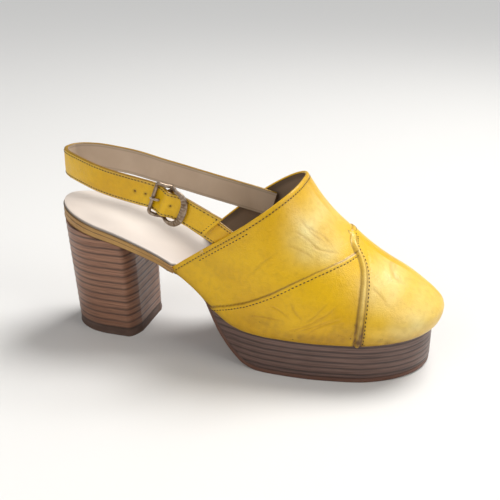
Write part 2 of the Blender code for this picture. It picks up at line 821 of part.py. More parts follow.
def buckle_axes():
    """Middle of the bar, and unit vectors towards the tip, outwards and up across the strap."""
    _, points = route_points(LONG_ROUTE, GAP)
    place = bar_place(points)
    forward = points[0] - points[place]
    forward /= np.linalg.norm(forward)
    out = np.cross(forward, np.array([0.0, 0.0, -1.0]))
    out /= np.linalg.norm(out)
    out *= -np.sign(out[1])
    up = np.cross(out, forward)
    up *= np.sign(up[2])
    return points[place] - out * BAR_DEPTH, forward, out, up


def wire_level():
    """Height of the frame's middle over the bar's: it clears the strap's outer face."""
    return BAR_DEPTH + 2.0 * GAP + BUCKLE_WIRE


def prong_path(count=13):
    """Middle of the prong: from the bar up through the strap to the back of the frame."""
    origin, forward, out, _ = buckle_axes()
    share = np.linspace(0.0, 1.0, count)
    start = BAR_RADIUS + GAP + PRONG_RADIUS
    rest = wire_level() + BUCKLE_WIRE + GAP + PRONG_RADIUS
    back = start + (BUCKLE_BACK + BUCKLE_WIRE - start) * share
    rise = rest * np.sin(np.clip(1.2 * share, 0.0, 1.0) * math.pi / 2.0)
    return origin - forward * back[:, None] + out * rise[:, None]


def build_long_strap(material):
    """Long strap: from its slanted tip over the bar, round the heel, to inside the upper."""
    step = GAP * 2.0
    t, points = route_points(LONG_ROUTE, step)
    place = bar_place(points)
    distance = t - t[place]
    along, out, up = strap_axes(points, -1.0)
    held = np.exp(-(distance / (2.0 * BUCKLE_BACK)) ** 4)[:, None]
    up = up * (1.0 - held) + buckle_axes()[3] * held
    up /= np.linalg.norm(up, axis=1)[:, None]
    face = points + out * strap_rise(distance)[:, None]
    near = np.abs(distance) < 1.3 * BUCKLE_BACK
    index = np.arange(len(t))
    pick = (index % 11 == 0) | (near & (index % 2 == 0)) | (index == len(t) - 1)
    blend = np.clip(distance / BUCKLE_BACK + 0.5, 0.0, 1.0)
    width = STRAP_TAIL_WIDTH + (STRAP_WIDTH - STRAP_TAIL_WIDTH) * blend
    slant = -along[0] * TIP_SLANT / 2.0
    strap = strap_solid("heel_strap", face[pick], up[pick], out[pick], width[pick],
                        STRAP_THICK, slant, material)
    path = prong_path()
    hole = tube("prong_hole", path, np.full(len(path), PRONG_RADIUS + 2.0 * GAP), WIRE_SIDES, cutters)
    apply_boolean(strap, hole, "DIFFERENCE")
    return strap


def build_short_strap(material):
    """Short strap: an eye round the bar, and a band forward under the tail into the upper."""
    origin, _, _, up = buckle_axes()
    _, points = route_points(SHORT_ROUTE, STRAP_THICK)
    _, out, ups = strap_axes(points, 1.0)
    width = np.full(len(points), TAB_WIDTH)
    band = strap_solid("buckle_strap", points, ups, out, width, TAB_THICK, np.zeros(3), material)
    half = up * TAB_WIDTH / 2.0
    ends = np.stack([origin - half, origin + half])
    wide = np.stack([origin - 1.2 * half, origin + 1.2 * half])
    eye = tube("tab_eye", ends, np.full(2, BAR_RADIUS + GAP + EYE_WALL), BAR_SIDES, cutters)
    hole = tube("tab_hole", wide, np.full(2, BAR_RADIUS + GAP), BAR_SIDES, cutters)
    path = np.concatenate([origin[None, :], prong_path()[:6]])
    notch = tube("tab_notch", path, np.full(len(path), PRONG_RADIUS + 2.0 * GAP), WIRE_SIDES, cutters)
    apply_boolean(band, eye, "UNION")
    apply_boolean(band, hole, "DIFFERENCE")
    apply_boolean(band, notch, "DIFFERENCE")
    drop_crumbs(band)
    return band


def build_prong(material):
    """Prong: a thin round bar that narrows to its tip."""
    path = prong_path()
    radii = PRONG_RADIUS * (1.0 - 0.4 * np.linspace(0.0, 1.0, len(path)) ** 4)
    return tube("buckle_prong", path, radii, WIRE_SIDES, parts, material)


def build_frame(material):
    """Buckle frame: a straight back, rails that dip to the bar, and a broad round front."""
    origin, forward, out, up = buckle_axes()
    corner = 1.6 * BUCKLE_WIRE
    bend = 0.4 * BUCKLE_FRONT
    rail = np.linspace(corner - BUCKLE_BACK, bend, 9)
    turn = np.linspace(0.0, math.pi, 17)[1:-1]
    rise = np.linspace(-1.0, 1.0, 7) * (BUCKLE_HALF - corner)
    round_f = bend + (BUCKLE_FRONT - bend) * np.sin(turn) ** 0.8
    round_u = BUCKLE_HALF * np.sign(np.cos(turn)) * np.abs(np.cos(turn)) ** 0.8
    edge = np.full(len(rail), BUCKLE_HALF)
    f = np.concatenate([np.full(len(rise), -BUCKLE_BACK), rail, round_f, rail[::-1]])
    u = np.concatenate([rise, edge, round_u, -edge])
    on_rail = np.concatenate([rise * 0.0, edge, round_u * 0.0, edge]) / BUCKLE_HALF
    dip = np.exp(-(f / (0.4 * BUCKLE_BACK)) ** 2) * on_rail
    middle = np.stack([f, u, wire_level() * (1.0 - dip)], axis=-1)
    broad = np.clip((f - bend) / (BUCKLE_FRONT - bend), 0.0, 1.0)
    wide = BUCKLE_WIRE + (BUCKLE_BAND - BUCKLE_WIRE) * broad
    tangent = np.roll(middle, -1, axis=0) - np.roll(middle, 1, axis=0)
    tangent /= np.linalg.norm(tangent, axis=1)[:, None]
    side = np.cross(tangent, np.array([0.0, 0.0, 1.0]))
    side /= np.linalg.norm(side, axis=1)[:, None]
    lift = np.cross(side, tangent)
    angles = (np.arange(WIRE_SIDES) + 0.5) * 2.0 * math.pi / WIRE_SIDES
    across = wide[:, None, None] * np.cos(angles)[None, :, None] * side[:, None, :]
    rings = middle[:, None, :] + across + BUCKLE_WIRE * np.sin(angles)[None, :, None] * lift[:, None, :]
    rings = np.concatenate([rings, rings[:1]])
    world = origin + rings @ np.stack([forward, up, out])
    frame = make_object("buckle_frame", grid_mesh("buckle_frame", world, True), parts, material)
    reach = up * BUCKLE_HALF
    bar = tube("buckle_bar", np.stack([origin - reach, origin + reach]), np.full(2, BAR_RADIUS),
               BAR_SIDES, cutters)
    apply_boolean(frame, bar, "UNION")
    return frame


def centre_on_box():
    """Carry the shoe so that its own box stands centred on the origin."""
    corners = []
    for item in parts.objects:
        if item.type == "MESH":
            flat = np.empty(len(item.data.vertices) * 3)
            item.data.vertices.foreach_get("co", flat)
            corners.append(flat.reshape(-1, 3))
    corners = np.concatenate(corners)
    middle = (corners.min(axis=0) + corners.max(axis=0)) / 2.0
    shoe_frame.location = (-middle[0], -middle[1], -corners[:, 2].min())
    bpy.context.view_layer.update()


for item in list(bpy.data.objects):
    bpy.data.objects.remove(item, do_unlink=True)
parts = bpy.data.collections.new("platform_slingback")
cutters = bpy.data.collections.new("cutters")
bpy.context.scene.collection.children.link(parts)
bpy.context.scene.collection.children.link(cutters)
shoe_frame = bpy.data.objects.new("shoe_frame", None)
parts.objects.link(shoe_frame)

leather = make_material("golden_leather", (0.78, 0.50, 0.02), 0.42)
edge_leather = make_material("edge_leather", (0.50, 0.30, 0.09), 0.55)
sock_leather = make_material("sock_leather", (0.80, 0.74, 0.66), 0.60)
stack_leather = make_material("stacked_leather", (0.25, 0.12, 0.08), 0.55)
stack_dark = make_material("stacked_platform", (0.13, 0.07, 0.06), 0.50)
sole_leather = make_material("sole_leather", (0.28, 0.13, 0.07), 0.60)
heel_rubber = make_material("heel_rubber", (0.20, 0.16, 0.13), 0.75)
bronze = make_material("dark_bronze", (0.24, 0.19, 0.13), 0.40, 1.0)

build_upper(leather)
build_board(edge_leather)
build_sock(sock_leather)
build_platform(stack_dark)
build_outsole(sole_leather)
build_heel(stack_leather)
build_top_piece(heel_rubber)
build_long_strap(leather)
build_short_strap(leather)
build_frame(bronze)
build_prong(bronze)
centre_on_box()
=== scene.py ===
"""A worn golden slingback clog on a stacked platform and block heel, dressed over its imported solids.

Everything is in metres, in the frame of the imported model: +X from heel to toe, +Y towards the inner
side, +Z up. Surfaces are worked out in the shoe's own sizes, with x measured forward from the back of
the heel seat, and carried to the frame by one shift.
"""
import math

import bpy
import numpy as np
from mathutils import Matrix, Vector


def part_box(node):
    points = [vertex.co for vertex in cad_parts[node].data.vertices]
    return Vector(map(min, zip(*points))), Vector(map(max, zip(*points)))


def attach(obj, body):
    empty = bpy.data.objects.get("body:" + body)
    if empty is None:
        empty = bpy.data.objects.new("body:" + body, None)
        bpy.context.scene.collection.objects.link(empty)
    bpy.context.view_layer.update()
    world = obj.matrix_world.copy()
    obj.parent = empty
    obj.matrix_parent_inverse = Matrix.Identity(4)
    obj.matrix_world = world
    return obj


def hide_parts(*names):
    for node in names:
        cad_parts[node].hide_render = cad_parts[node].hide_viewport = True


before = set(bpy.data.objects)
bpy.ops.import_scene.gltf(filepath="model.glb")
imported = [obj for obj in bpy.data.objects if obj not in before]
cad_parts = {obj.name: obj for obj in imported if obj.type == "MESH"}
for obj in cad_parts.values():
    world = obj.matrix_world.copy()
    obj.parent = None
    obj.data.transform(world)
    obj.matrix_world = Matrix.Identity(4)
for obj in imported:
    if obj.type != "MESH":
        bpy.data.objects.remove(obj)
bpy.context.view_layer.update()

# Upper: one skin of leather over the hoops. The instep panel lies LAP lower than its neighbours, the
# corded seam stands proud, and creases are pressed in. Its rim rolls over the topline.

# The last: driving sizes and the curves that every part of the shoe is cut from.
# Rows are shares of the shoe's length, of the ball's half widths and of the instep's height.
SHOE_LENGTH = 0.2446
BALL_LATERAL = 0.0452
BALL_MEDIAL = 0.0420
SEAT_HEIGHT = 0.0752
PLATFORM_HEIGHT = 0.0246
INSTEP_HEIGHT = 0.1100
INSTEP_X = 0.1580
TOPLINE_END_X = 0.0836
HEEL_ROUND = 0.036
TOE_ROUND = 0.044
TOE_SPRING = 0.0014
TOE_SHIFT = 0.0050
TOE_PUFF = 0.0105
PUFF_SIDE = 0.0090
TUCK_SIDE = 0.0014
TUCK_TOE = 0.0060
TOPLINE_BOW = 0.0050
WALL = 0.0020
LAP = 0.0008
MM = 0.001
board_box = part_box("insole_board")
heel_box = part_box("heel")
HOME = np.array([board_box[0][0], (heel_box[0][1] + heel_box[1][1]) / 2.0, 0.0])
PLAN = [
    # along, lateral, medial, shift
    (0.000, 0.655, 0.660, 0.00),
    (0.180, 0.662, 0.668, 0.00),
    (0.290, 0.655, 0.628, 0.00),
    (0.342, 0.664, 0.606, 0.00),
    (0.390, 0.685, 0.645, 0.00),
    (0.450, 0.750, 0.735, 0.00),
    (0.511, 0.872, 0.835, 0.00),
    (0.556, 0.953, 0.900, 0.00),
    (0.605, 0.996, 0.955, 0.00),
    (0.650, 1.000, 0.986, 0.00),
    (0.700, 0.990, 1.000, 0.00),
    (0.760, 0.958, 0.970, 0.10),
    (0.820, 0.928, 0.890, 0.35),
    (0.880, 0.920, 0.800, 0.70),
    (0.940, 0.930, 0.730, 0.95),
    (1.000, 0.930, 0.690, 1.00),
]
BOARD_LINE = [
    # along, rise
    (0.000, 1.010),
    (0.065, 0.935),
    (0.123, 0.875),
    (0.180, 0.812),
    (0.253, 0.703),
    (0.303, 0.615),
    (0.342, 0.530),
    (0.386, 0.385),
    (0.425, 0.232),
    (0.460, 0.118),
    (0.500, 0.030),
    (0.545, 0.000),
    (0.700, 0.000),
    (1.000, 0.000),
]
CREST = [
    # along, height
    (0.000, 1.000),
    (0.100, 0.842),
    (0.200, 0.718),
    (0.330, 0.590),
    (0.430, 0.492),
    (0.580, 0.372),
    (0.735, 0.275),
    (0.850, 0.190),
    (0.935, 0.115),
    (0.985, 0.052),
    (1.000, 0.000),
]
HOOP_POWER = [
    # along, power
    (0.000, 2.90),
    (0.250, 2.60),
    (0.500, 2.35),
    (0.750, 2.15),
    (1.000, 2.00),
]


def smooth(x, table, column):
    """Monotone cubic through a table's column: flat at turning points, no overshoot."""
    rows = np.array(table, float)
    xs = rows[:, 0]
    ys = rows[:, column]
    step = np.diff(xs)
    slope = np.diff(ys) / step
    before = slope[:-1]
    after = slope[1:]
    first = 2.0 * step[1:] + step[:-1]
    last = step[1:] + 2.0 * step[:-1]
    same = before * after > 0.0
    middle = (first + last) / (first / np.where(same, before, 1.0) + last / np.where(same, after, 1.0))
    tangent = np.concatenate(([slope[0]], np.where(same, middle, 0.0), [slope[-1]]))
    x = np.clip(np.asarray(x, float), xs[0], xs[-1])
    i = np.clip(np.searchsorted(xs, x, side="right") - 1, 0, len(step) - 1)
    t = (x - xs[i]) / step[i]
    h = step[i]
    start = (1.0 + 2.0 * t) * (1.0 - t) ** 2 * ys[i] + t * (1.0 - t) ** 2 * h * tangent[i]
    end = t * t * (3.0 - 2.0 * t) * ys[i + 1] + t * t * (t - 1.0) * h * tangent[i + 1]
    return start + end


def ease(x, low=0.0, high=1.0):
    """Smooth step from 0 at low to 1 at high."""
    t = np.clip((np.asarray(x, float) - low) / (high - low), 0.0, 1.0)
    return t * t * (3.0 - 2.0 * t)


def bell(x, width):
    """Rounded peak of height 1 at 0 that fades over a width."""
    return np.exp(-(np.asarray(x, float) / width) ** 2)


def round_end(distance, radius, power=2.0):
    """Share of the full width at a distance from a round end."""
    left = 1.0 - np.clip(np.asarray(distance, float) / radius, 0.0, 1.0)
    return (1.0 - left ** power) ** (1.0 / power)


def middle_line(x):
    """The plan's middle line, which swings inwards at the toe."""
    return smooth(np.asarray(x) / SHOE_LENGTH, PLAN, 3) * TOE_SHIFT


def full_width(x, side):
    """Half width of the last without its round ends; side is -1 lateral or +1 medial."""
    share = np.asarray(x) / SHOE_LENGTH
    return np.where(side < 0, smooth(share, PLAN, 1) * BALL_LATERAL, smooth(share, PLAN, 2) * BALL_MEDIAL)


def outline(x, side, inset=0.0, start=0.0, end=SHOE_LENGTH):
    """y of the last's plan: middle line, then width less an inset, with round heel and toe."""
    ends = round_end(x - start, HEEL_ROUND) * round_end(end - x, TOE_ROUND)
    return middle_line(x) + side * (full_width(x, side) - inset) * ends


def board_under(x):
    """Height of the insole board's underside and of the upper's lower edge."""
    share = np.asarray(x) / SHOE_LENGTH
    spring = np.clip((share - 0.72) / 0.28, 0.0, 1.0) ** 1.5
    return PLATFORM_HEIGHT + (SEAT_HEIGHT - PLATFORM_HEIGHT) * smooth(share, BOARD_LINE,
        1) + TOE_SPRING * spring


def from_topline(x):
    return np.clip((np.asarray(x) - TOPLINE_END_X) / (0.2 * SHOE_LENGTH), 0.0, 1.0)


def tuck(x):
    """How far the upper's lower edge lies inside its widest line."""
    return TUCK_SIDE * (0.4 + 0.6 * from_topline(x))


def widest_height(x):
    """Height of the upper's widest line."""
    toe = np.clip((np.asarray(x) / SHOE_LENGTH - 0.75) / 0.25, 0.0, 1.0)
    return board_under(x) + PUFF_SIDE * (0.35 + 0.65 * from_topline(x)) + (TOE_PUFF - PUFF_SIDE) * toe


def hoop_point(e, turn, side):
    """Point of the upper's hoop e at a turn from 0 (widest line) to 1 (crest), on one side."""
    power = smooth(e, HOOP_POWER, 1)
    angle = np.clip(turn, 0.0, 1.0) * math.pi / 2.0
    up = np.sin(angle) ** (2.0 / power)
    out = np.clip(np.cos(angle), 0.0, 1.0) ** (2.0 / power)
    foot = TOPLINE_END_X + (SHOE_LENGTH - TOPLINE_END_X) * e
    crest_x = INSTEP_X + (SHOE_LENGTH - INSTEP_X) * e
    low = widest_height(SHOE_LENGTH)
    crest = low + (INSTEP_HEIGHT - low) * smooth(e, CREST, 1)
    bow = (side + 1.0) / 2.0 * TOPLINE_BOW * 4.0 * up * (1.0 - up) * np.clip(1.0 - 2.5 * e, 0.0, 1.0) ** 2
    x = foot + (crest_x - foot) * up
    z = widest_height(foot) + (crest - widest_height(foot)) * up + bow
    return np.stack([x, middle_line(x) + (outline(x, side) - middle_line(x)) * out, z], axis=-1)


def tuck_point(e, down, side):
    """Point under the widest line, at a share down to the lower edge on a quarter ellipse."""
    top_x = TOPLINE_END_X + (SHOE_LENGTH - TOPLINE_END_X) * e
    low_x = TOPLINE_END_X + (SHOE_LENGTH - TUCK_TOE - TOPLINE_END_X) * e
    top_y = outline(top_x, side)
    low_y = outline(low_x, side, tuck(low_x), 0.0, SHOE_LENGTH - TUCK_TOE)
    keep = np.cos(down * math.pi / 2.0)
    z = widest_height(top_x) + (board_under(low_x) - widest_height(top_x)) * np.sin(down * math.pi / 2.0)
    return np.stack([low_x + (top_x - low_x) * keep, low_y + (top_y - low_y) * keep, z], axis=-1)


def arc_length(points, axis=0):
    """Distance run along a row of points, from 0."""
    step = np.linalg.norm(np.diff(points, axis=axis), axis=-1)
    start = np.zeros_like(np.take(step, [0], axis=axis))
    return np.concatenate([start, np.cumsum(step, axis=axis)], axis=axis)


def even_path(points, count):
    """The same path through evenly spaced points."""
    run = arc_length(points)
    t = np.linspace(0.0, run[-1], count)
    return np.stack([np.interp(t, run, points[:, k]) for k in range(3)], axis=-1)


def upper_grid(stations, columns, tucked):
    """Outer face of the upper [station, column]: lateral edge, over the crest, medial edge."""
    downs = np.linspace(1.0, 0.0, tucked + 1)[:-1]
    fine = np.linspace(0.0, 1.0, 300)
    rows = []
    for station in stations:
        e = math.sin(station * math.pi / 2.0)
        halves = []
        for side in (-1, 1):
            hoop = hoop_point(np.full(fine.shape, e), fine, side)
            run = arc_length(hoop)
            turns = np.interp(np.linspace(0.0, run[-1], columns), run,
                              fine) if run[-1] > 1e-6 else fine[:columns]
            low = tuck_point(np.full(downs.shape, e), downs, side)
            halves.append(np.concatenate([low, hoop_point(np.full(turns.shape, e), turns, side)]))
        rows.append(np.concatenate([halves[0], halves[1][-2::-1]]))
    return np.array(rows)


def grid_normals(points):
    """Unit normals of a grid of points, from its two directions."""
    normal = np.cross(np.gradient(points, axis=0), np.gradient(points, axis=1))
    return normal / np.maximum(np.linalg.norm(normal, axis=-1), 1e-12)[..., None]


def nearest_on(points, path):
    """Distance from each point to a path, and the run along the path at its nearest place."""
    flat = points.reshape(-1, 3)
    best = np.full(len(flat), 1e9)
    where = np.zeros(len(flat))
    run = arc_length(path)
    for k in range(len(path) - 1):
        leg = path[k + 1] - path[k]
        size = leg @ leg
        t = np.clip((flat - path[k]) @ leg / size, 0.0, 1.0)
        gap = np.linalg.norm(flat - path[k] - t[:, None] * leg, axis=1)
        closer = gap < best
        best = np.where(closer, gap, best)
        where = np.where(closer, run[k] + t * math.sqrt(size), where)
    return best.reshape(points.shape[:-1]), where.reshape(points.shape[:-1])


def waves(*coords, seed=1, count=6, size=0.01):
    """Soft irregular field from a few crossed sines of about one size; it lies in -1 to 1."""
    draw = np.random.default_rng(seed)
    total = 0.0
    for _ in range(count):
        phase = draw.uniform(0.0, 2.0 * math.pi)
        for coord in coords:
            phase = phase + coord * draw.uniform(-1.0, 1.0) * 2.0 * math.pi / size
        total = total + np.sin(phase)
    return total / count


# Helpers that make a piece: a mesh from a grid, its tone layer, and what it stands for.
def grid_faces(rows, columns, closed):
    """Corner numbers of a grid's quads; a closed grid joins its last column to its first."""
    index = np.arange(rows * columns).reshape(rows, columns)
    last = columns if closed else columns - 1
    right = np.roll(index, -1, axis=1)
    quads = np.stack([index[:-1, :last], index[1:, :last], right[1:, :last], right[:-1, :last]], axis=-1)
    return quads.reshape(-1, 4)


def make_piece(name, points, quads, material, tone=None):
    """Smooth object from points and quads in the shoe's own sizes, with a tone colour per point."""
    flat = points.reshape(-1, 3) + HOME
    mesh = bpy.data.meshes.new(name)
    mesh.vertices.add(len(flat))
    mesh.vertices.foreach_set("co", flat.ravel())
    mesh.loops.add(quads.size)
    mesh.loops.foreach_set("vertex_index", quads.ravel())
    mesh.polygons.add(len(quads))
    mesh.polygons.foreach_set("loop_start", np.arange(len(quads)) * 4)
    mesh.update(calc_edges=True)
    mesh.validate()
    mesh.shade_smooth()
    if tone is not None:
        layer = mesh.color_attributes.new("tone", "FLOAT_COLOR", "POINT")
        colour = np.ones((len(flat), 4))
        colour[:, :3] = np.clip(np.stack([np.broadcast_to(t, points.shape[:-1]) for t in tone],
                                         axis=-1).reshape(-1, 3), 0.0, 1.0)
        layer.data.foreach_set("color", colour.ravel())
    mesh.materials.append(material)
    piece = bpy.data.objects.new(name, mesh)
    bpy.context.scene.collection.objects.link(piece)
    return piece


def grid_piece(name, points, material, tone=None, closed=False, flip=False):
    """Object over a grid of points; flip turns its faces the other way."""
    quads = grid_faces(points.shape[0], points.shape[1], closed)
    if flip:
        quads = quads[:, ::-1]
    return make_piece(name, points, quads, material, tone)


def stands_for(piece, slot, *nodes):
    """The piece rides on the shoe's one body and hides the nodes it replaces; slot is not used."""
    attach(piece, "root")
    if nodes:
        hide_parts(*nodes)
    return piece


# Materials. Colours are linear; grain, wear and gloss are procedural, on object coordinates and on
# each piece's own tone layer: red darkens with dirt, dark joints and edges and with painted shade in
# creases and punched holes, green pales with wear and with painted sheen highlights, blue is painted shade in
# creases and along edges.
def add(tree, kind, inputs=None, **settings):
    """New node; each input is a plain value or another node's output."""
    node = tree.nodes.new(kind)
    for key, value in settings.items():
        setattr(node, key, value)
    for key, value in (inputs or {}).items():
        if isinstance(value, bpy.types.NodeSocket):
            tree.links.new(value, node.inputs[key])
        else:
            node.inputs[key].default_value = value
    return node


def noise(tree, scale, detail=4.0, distortion=0.0, stretch=(1.0, 1.0, 1.0)):
    """Noise on object coordinates, about 1 / scale metres from lump to lump."""
    place = add(tree, "ShaderNodeTexCoord").outputs["Object"]
    scaled = add(tree, "ShaderNodeMapping", {"Vector": place, "Scale": stretch}).outputs[0]
    inputs = {"Vector": scaled, "Scale": scale, "Detail": detail, "Distortion": distortion}
    return add(tree, "ShaderNodeTexNoise", inputs).outputs["Fac"]


def ramp(tree, value, low, high, start=0.0, end=1.0):
    """Value mapped from low..high to start..end and held there."""
    inputs = {"Value": value, "From Min": low, "From Max": high, "To Min": start, "To Max": end}
    return add(tree, "ShaderNodeMapRange", inputs).outputs[0]


def blend(tree, amount, first, second):
    """Colour between two others."""
    def rgba(c):
        return c if isinstance(c, bpy.types.NodeSocket) else (*c, 1.0)
    node = add(tree, "ShaderNodeMix", {0: amount, 6: rgba(first), 7: rgba(second)}, data_type="RGBA")
    return node.outputs[2]


def times(tree, first, second, operation="MULTIPLY"):
    return add(tree, "ShaderNodeMath", {0: first, 1: second}, operation=operation).outputs[0]


def tone_parts(tree):
    colour = add(tree, "ShaderNodeAttribute", attribute_name="tone").outputs["Color"]
    return add(tree, "ShaderNodeSeparateColor", {0: colour}).outputs


def finish(material, colour, roughness, height=None, bump=0.3, depth=0.0003, **fixed):
    """Joins colour, roughness and bump to the shader and sets its fixed values."""
    tree = material.node_tree
    shader = tree.nodes["Principled BSDF"]
    tree.links.new(colour, shader.inputs["Base Color"])
    if isinstance(roughness, bpy.types.NodeSocket):
        tree.links.new(roughness, shader.inputs["Roughness"])
    else:
        shader.inputs["Roughness"].default_value = roughness
    if height is not None:
        node = add(tree, "ShaderNodeBump", {"Height": height, "Strength": bump, "Distance": depth})
        tree.links.new(node.outputs[0], shader.inputs["Normal"])
    for key, value in fixed.items():
        shader.inputs[key.replace("_", " ")].default_value = value
    return material


def new_material(name):
    material = bpy.data.materials.new(name)
    material.use_nodes = True
    return material, material.node_tree


def golden_leather(name="golden_leather_worn"):
    """Polished golden leather: fine grain, darker clouds, painted pale sheen highlights, painted shade in
    creases, brown scuffs.
    """
    material, tree = new_material(name)
    dark, pale, painted_shade = tone_parts(tree)[:3]
    cloud = ramp(tree, noise(tree, 24.0, 5.0, 0.6), 0.42, 0.72)
    colour = blend(tree, times(tree, cloud, 0.65), (0.840, 0.500, 0.002), (0.640, 0.320, 0.001))
    # painted highlight: the tone layer's green pales the leather towards a sheen
    colour = blend(tree, pale, colour, (0.900, 0.740, 0.300))
    mottle = ramp(tree, noise(tree, 260.0, 6.0, 0.4), 0.45, 0.75)
    colour = blend(tree, times(tree, mottle, 0.22), colour, (0.420, 0.200, 0.012))
    # painted shade: the tone layer's blue darkens creases and edges
    colour = blend(tree, times(tree, painted_shade, 0.6), colour, (0.420, 0.190, 0.010))
    # the tone layer's red darkens with dirt and dark edges, and with painted shade in punched holes
    colour = blend(tree, dark, colour, (0.130, 0.055, 0.012))
    specks = ramp(tree, noise(tree, 900.0, 3.0), 0.66, 0.74)
    spotty = times(tree, specks, ramp(tree, dark, 0.02, 0.30))
    colour = blend(tree, times(tree, spotty, 0.8), colour, (0.060, 0.028, 0.010))
    place = add(tree, "ShaderNodeTexCoord").outputs["Object"]
    cells = add(tree, "ShaderNodeTexVoronoi", {"Vector": place, "Scale": 1300.0}).outputs["Distance"]
    height = times(tree, times(tree, cells, 0.5), times(tree, noise(tree, 420.0, 6.0), 0.9), "ADD")
    rough = ramp(tree, noise(tree, 60.0, 5.0), 0.3, 0.7, 0.30, 0.46)
    return finish(material, colour, rough, height, 0.60, 0.00042, Coat_Weight=0.14, Coat_Roughness=0.22,
                  Specular_IOR_Level=0.35)


golden = golden_leather()

RAISED_SEAM = [
    (0.8150, 0.2360),
    (0.8182, 0.3000),
    (0.8186, 0.4110),
    (0.8162, 0.5219),
    (0.8108, 0.5799),
    (0.8032, 0.6157),
    (0.7879, 0.6600),
    (0.7745, 0.6990),
    (0.7665, 0.7290),
]
OUTER_LAP = [
    (0.4250, 0.2850),
    (0.5079, 0.3620),
    (0.6041, 0.4740),
    (0.6675, 0.5560),
    (0.7275, 0.6180),
    (0.7879, 0.6596),
]
INNER_LAP = [
    (0.4200, 0.2400),
    (0.5400, 0.4000),
    (0.6600, 0.5700),
    (0.7640, 0.7230),
]
CORD_RADIUS = 0.0014
STITCH_INSET = 0.0019
STITCH_PITCH = 0.0023
UPPER_STATIONS = 250
UPPER_COLUMNS = 172
UPPER_TUCK = 14
RIM_STEPS = 8

# Creases on the outer side: from and to as shares of length and instep height, depth and width in mm
CREASES = [
    # x from, z from, x to, z to, depth, width
    (0.610, 0.430, 0.655, 0.350, 0.22, 1.0),
    (0.655, 0.445, 0.690, 0.365, 0.24, 1.0),
    (0.655, 0.285, 0.735, 0.400, 0.30, 1.2),
    (0.678, 0.280, 0.752, 0.385, 0.28, 1.1),
    (0.700, 0.285, 0.770, 0.375, 0.26, 1.1),
    (0.690, 0.355, 0.745, 0.455, 0.24, 1.0),
    (0.715, 0.370, 0.765, 0.450, 0.22, 1.0),
    (0.560, 0.330, 0.640, 0.350, 0.18, 1.2),
    (0.655, 0.860, 0.715, 0.745, 0.12, 0.9),
    (0.668, 0.830, 0.735, 0.705, 0.13, 0.9),
    (0.645, 0.800, 0.715, 0.695, 0.11, 0.9),
    (0.690, 0.740, 0.750, 0.670, 0.14, 0.9),
    (0.640, 0.740, 0.700, 0.655, 0.10, 0.9),
    (0.560, 0.560, 0.610, 0.700, 0.14, 1.4),
    (0.845, 0.640, 0.880, 0.540, 0.18, 1.1),
    (0.858, 0.590, 0.900, 0.500, 0.16, 1.0),
    (0.838, 0.520, 0.870, 0.430, 0.16, 1.1),
]
# Painted sheen highlights and dirty places: middle and half size as shares of length and instep height
PAINTED_HIGHLIGHT_SPOTS = [
    # side, x, z, half x, half z, strength
    (-1, 0.680, 0.810, 0.042, 0.120, 0.95),
    (-1, 0.720, 0.690, 0.050, 0.060, 0.60),
    (-1, 0.860, 0.520, 0.050, 0.100, 0.80),
    (-1, 0.945, 0.360, 0.050, 0.120, 0.75),
    (-1, 0.900, 0.300, 0.060, 0.060, 0.30),
    (1, 0.680, 0.780, 0.060, 0.120, 0.60),
    (1, 0.900, 0.400, 0.070, 0.120, 0.50),
]
DIRT_SPOTS = [
    # side, x, z, half x, half z, strength
    (-1, 0.700, 0.262, 0.090, 0.026, 0.48),
    (-1, 0.880, 0.262, 0.070, 0.032, 0.48),
    (-1, 0.590, 0.320, 0.050, 0.040, 0.36),
    (-1, 0.819, 0.300, 0.010, 0.100, 0.90),
    (-1, 0.780, 0.310, 0.035, 0.050, 0.36),
    (-1, 0.440, 0.560, 0.050, 0.060, 0.14),
    (1, 0.700, 0.280, 0.120, 0.030, 0.30),
]


def side_line(table, count):
    """Smooth side-view line through a seam's rows, as x and z in metres."""
    rows = np.array(table, float)
    run = np.concatenate(([0.0], np.cumsum(np.linalg.norm(np.diff(rows, axis=0), axis=1))))
    keyed = np.column_stack([run, rows])
    t = np.linspace(0.0, run[-1], count)
    return smooth(t, keyed, 1) * SHOE_LENGTH, smooth(t, keyed, 2) * INSTEP_HEIGHT


def on_surface(x, z, side, grid):
    """Points of a side-view line laid on one side of the upper's grid: the nearest in side view."""
    middle = grid.shape[1] // 2
    half = grid[:, :middle + 1] if side < 0 else grid[:, middle:]
    flat = half.reshape(-1, 3)
    picked = []
    for px, pz in zip(x, z):
        near = np.argsort((flat[:, 0] - px) ** 2 + (flat[:, 2] - pz) ** 2)[:4]
        weight = 1.0 / ((flat[near, 0] - px) ** 2 + (flat[near, 2] - pz) ** 2 + 1e-10)
        picked.append(weight @ flat[near] / weight.sum())
    return np.array(picked)


def side_stroke(x, z, crease):
    """Distance of side-view points from a stroke, and how full the stroke is there."""
    ax, az, bx, bz = np.array(crease[:4]) * [SHOE_LENGTH, INSTEP_HEIGHT, SHOE_LENGTH, INSTEP_HEIGHT]
    leg = np.array([bx - ax, bz - az])
    size = leg @ leg
    t = ((x - ax) * leg[0] + (z - az) * leg[1]) / size
    bent = 0.0012 * np.sin(t * 3.0 + ax * 900.0)
    across = ((x - ax) * -leg[1] + (z - az) * leg[0]) / math.sqrt(size) + bent
    return across, ease(t, -0.15, 0.25) * (1.0 - ease(t, 0.70, 1.15))


def spots(x, z, side, table):
    """Sum of soft oval spots on each side."""
    total = np.zeros_like(x)
    for which, sx, sz, half_x, half_z, strength in table:
        dx = (x - sx * SHOE_LENGTH) / (half_x * SHOE_LENGTH)
        dz = (z - sz * INSTEP_HEIGHT) / (half_z * INSTEP_HEIGHT)
        total += strength * np.exp(-dx * dx - dz * dz) * (side == which)
    return total


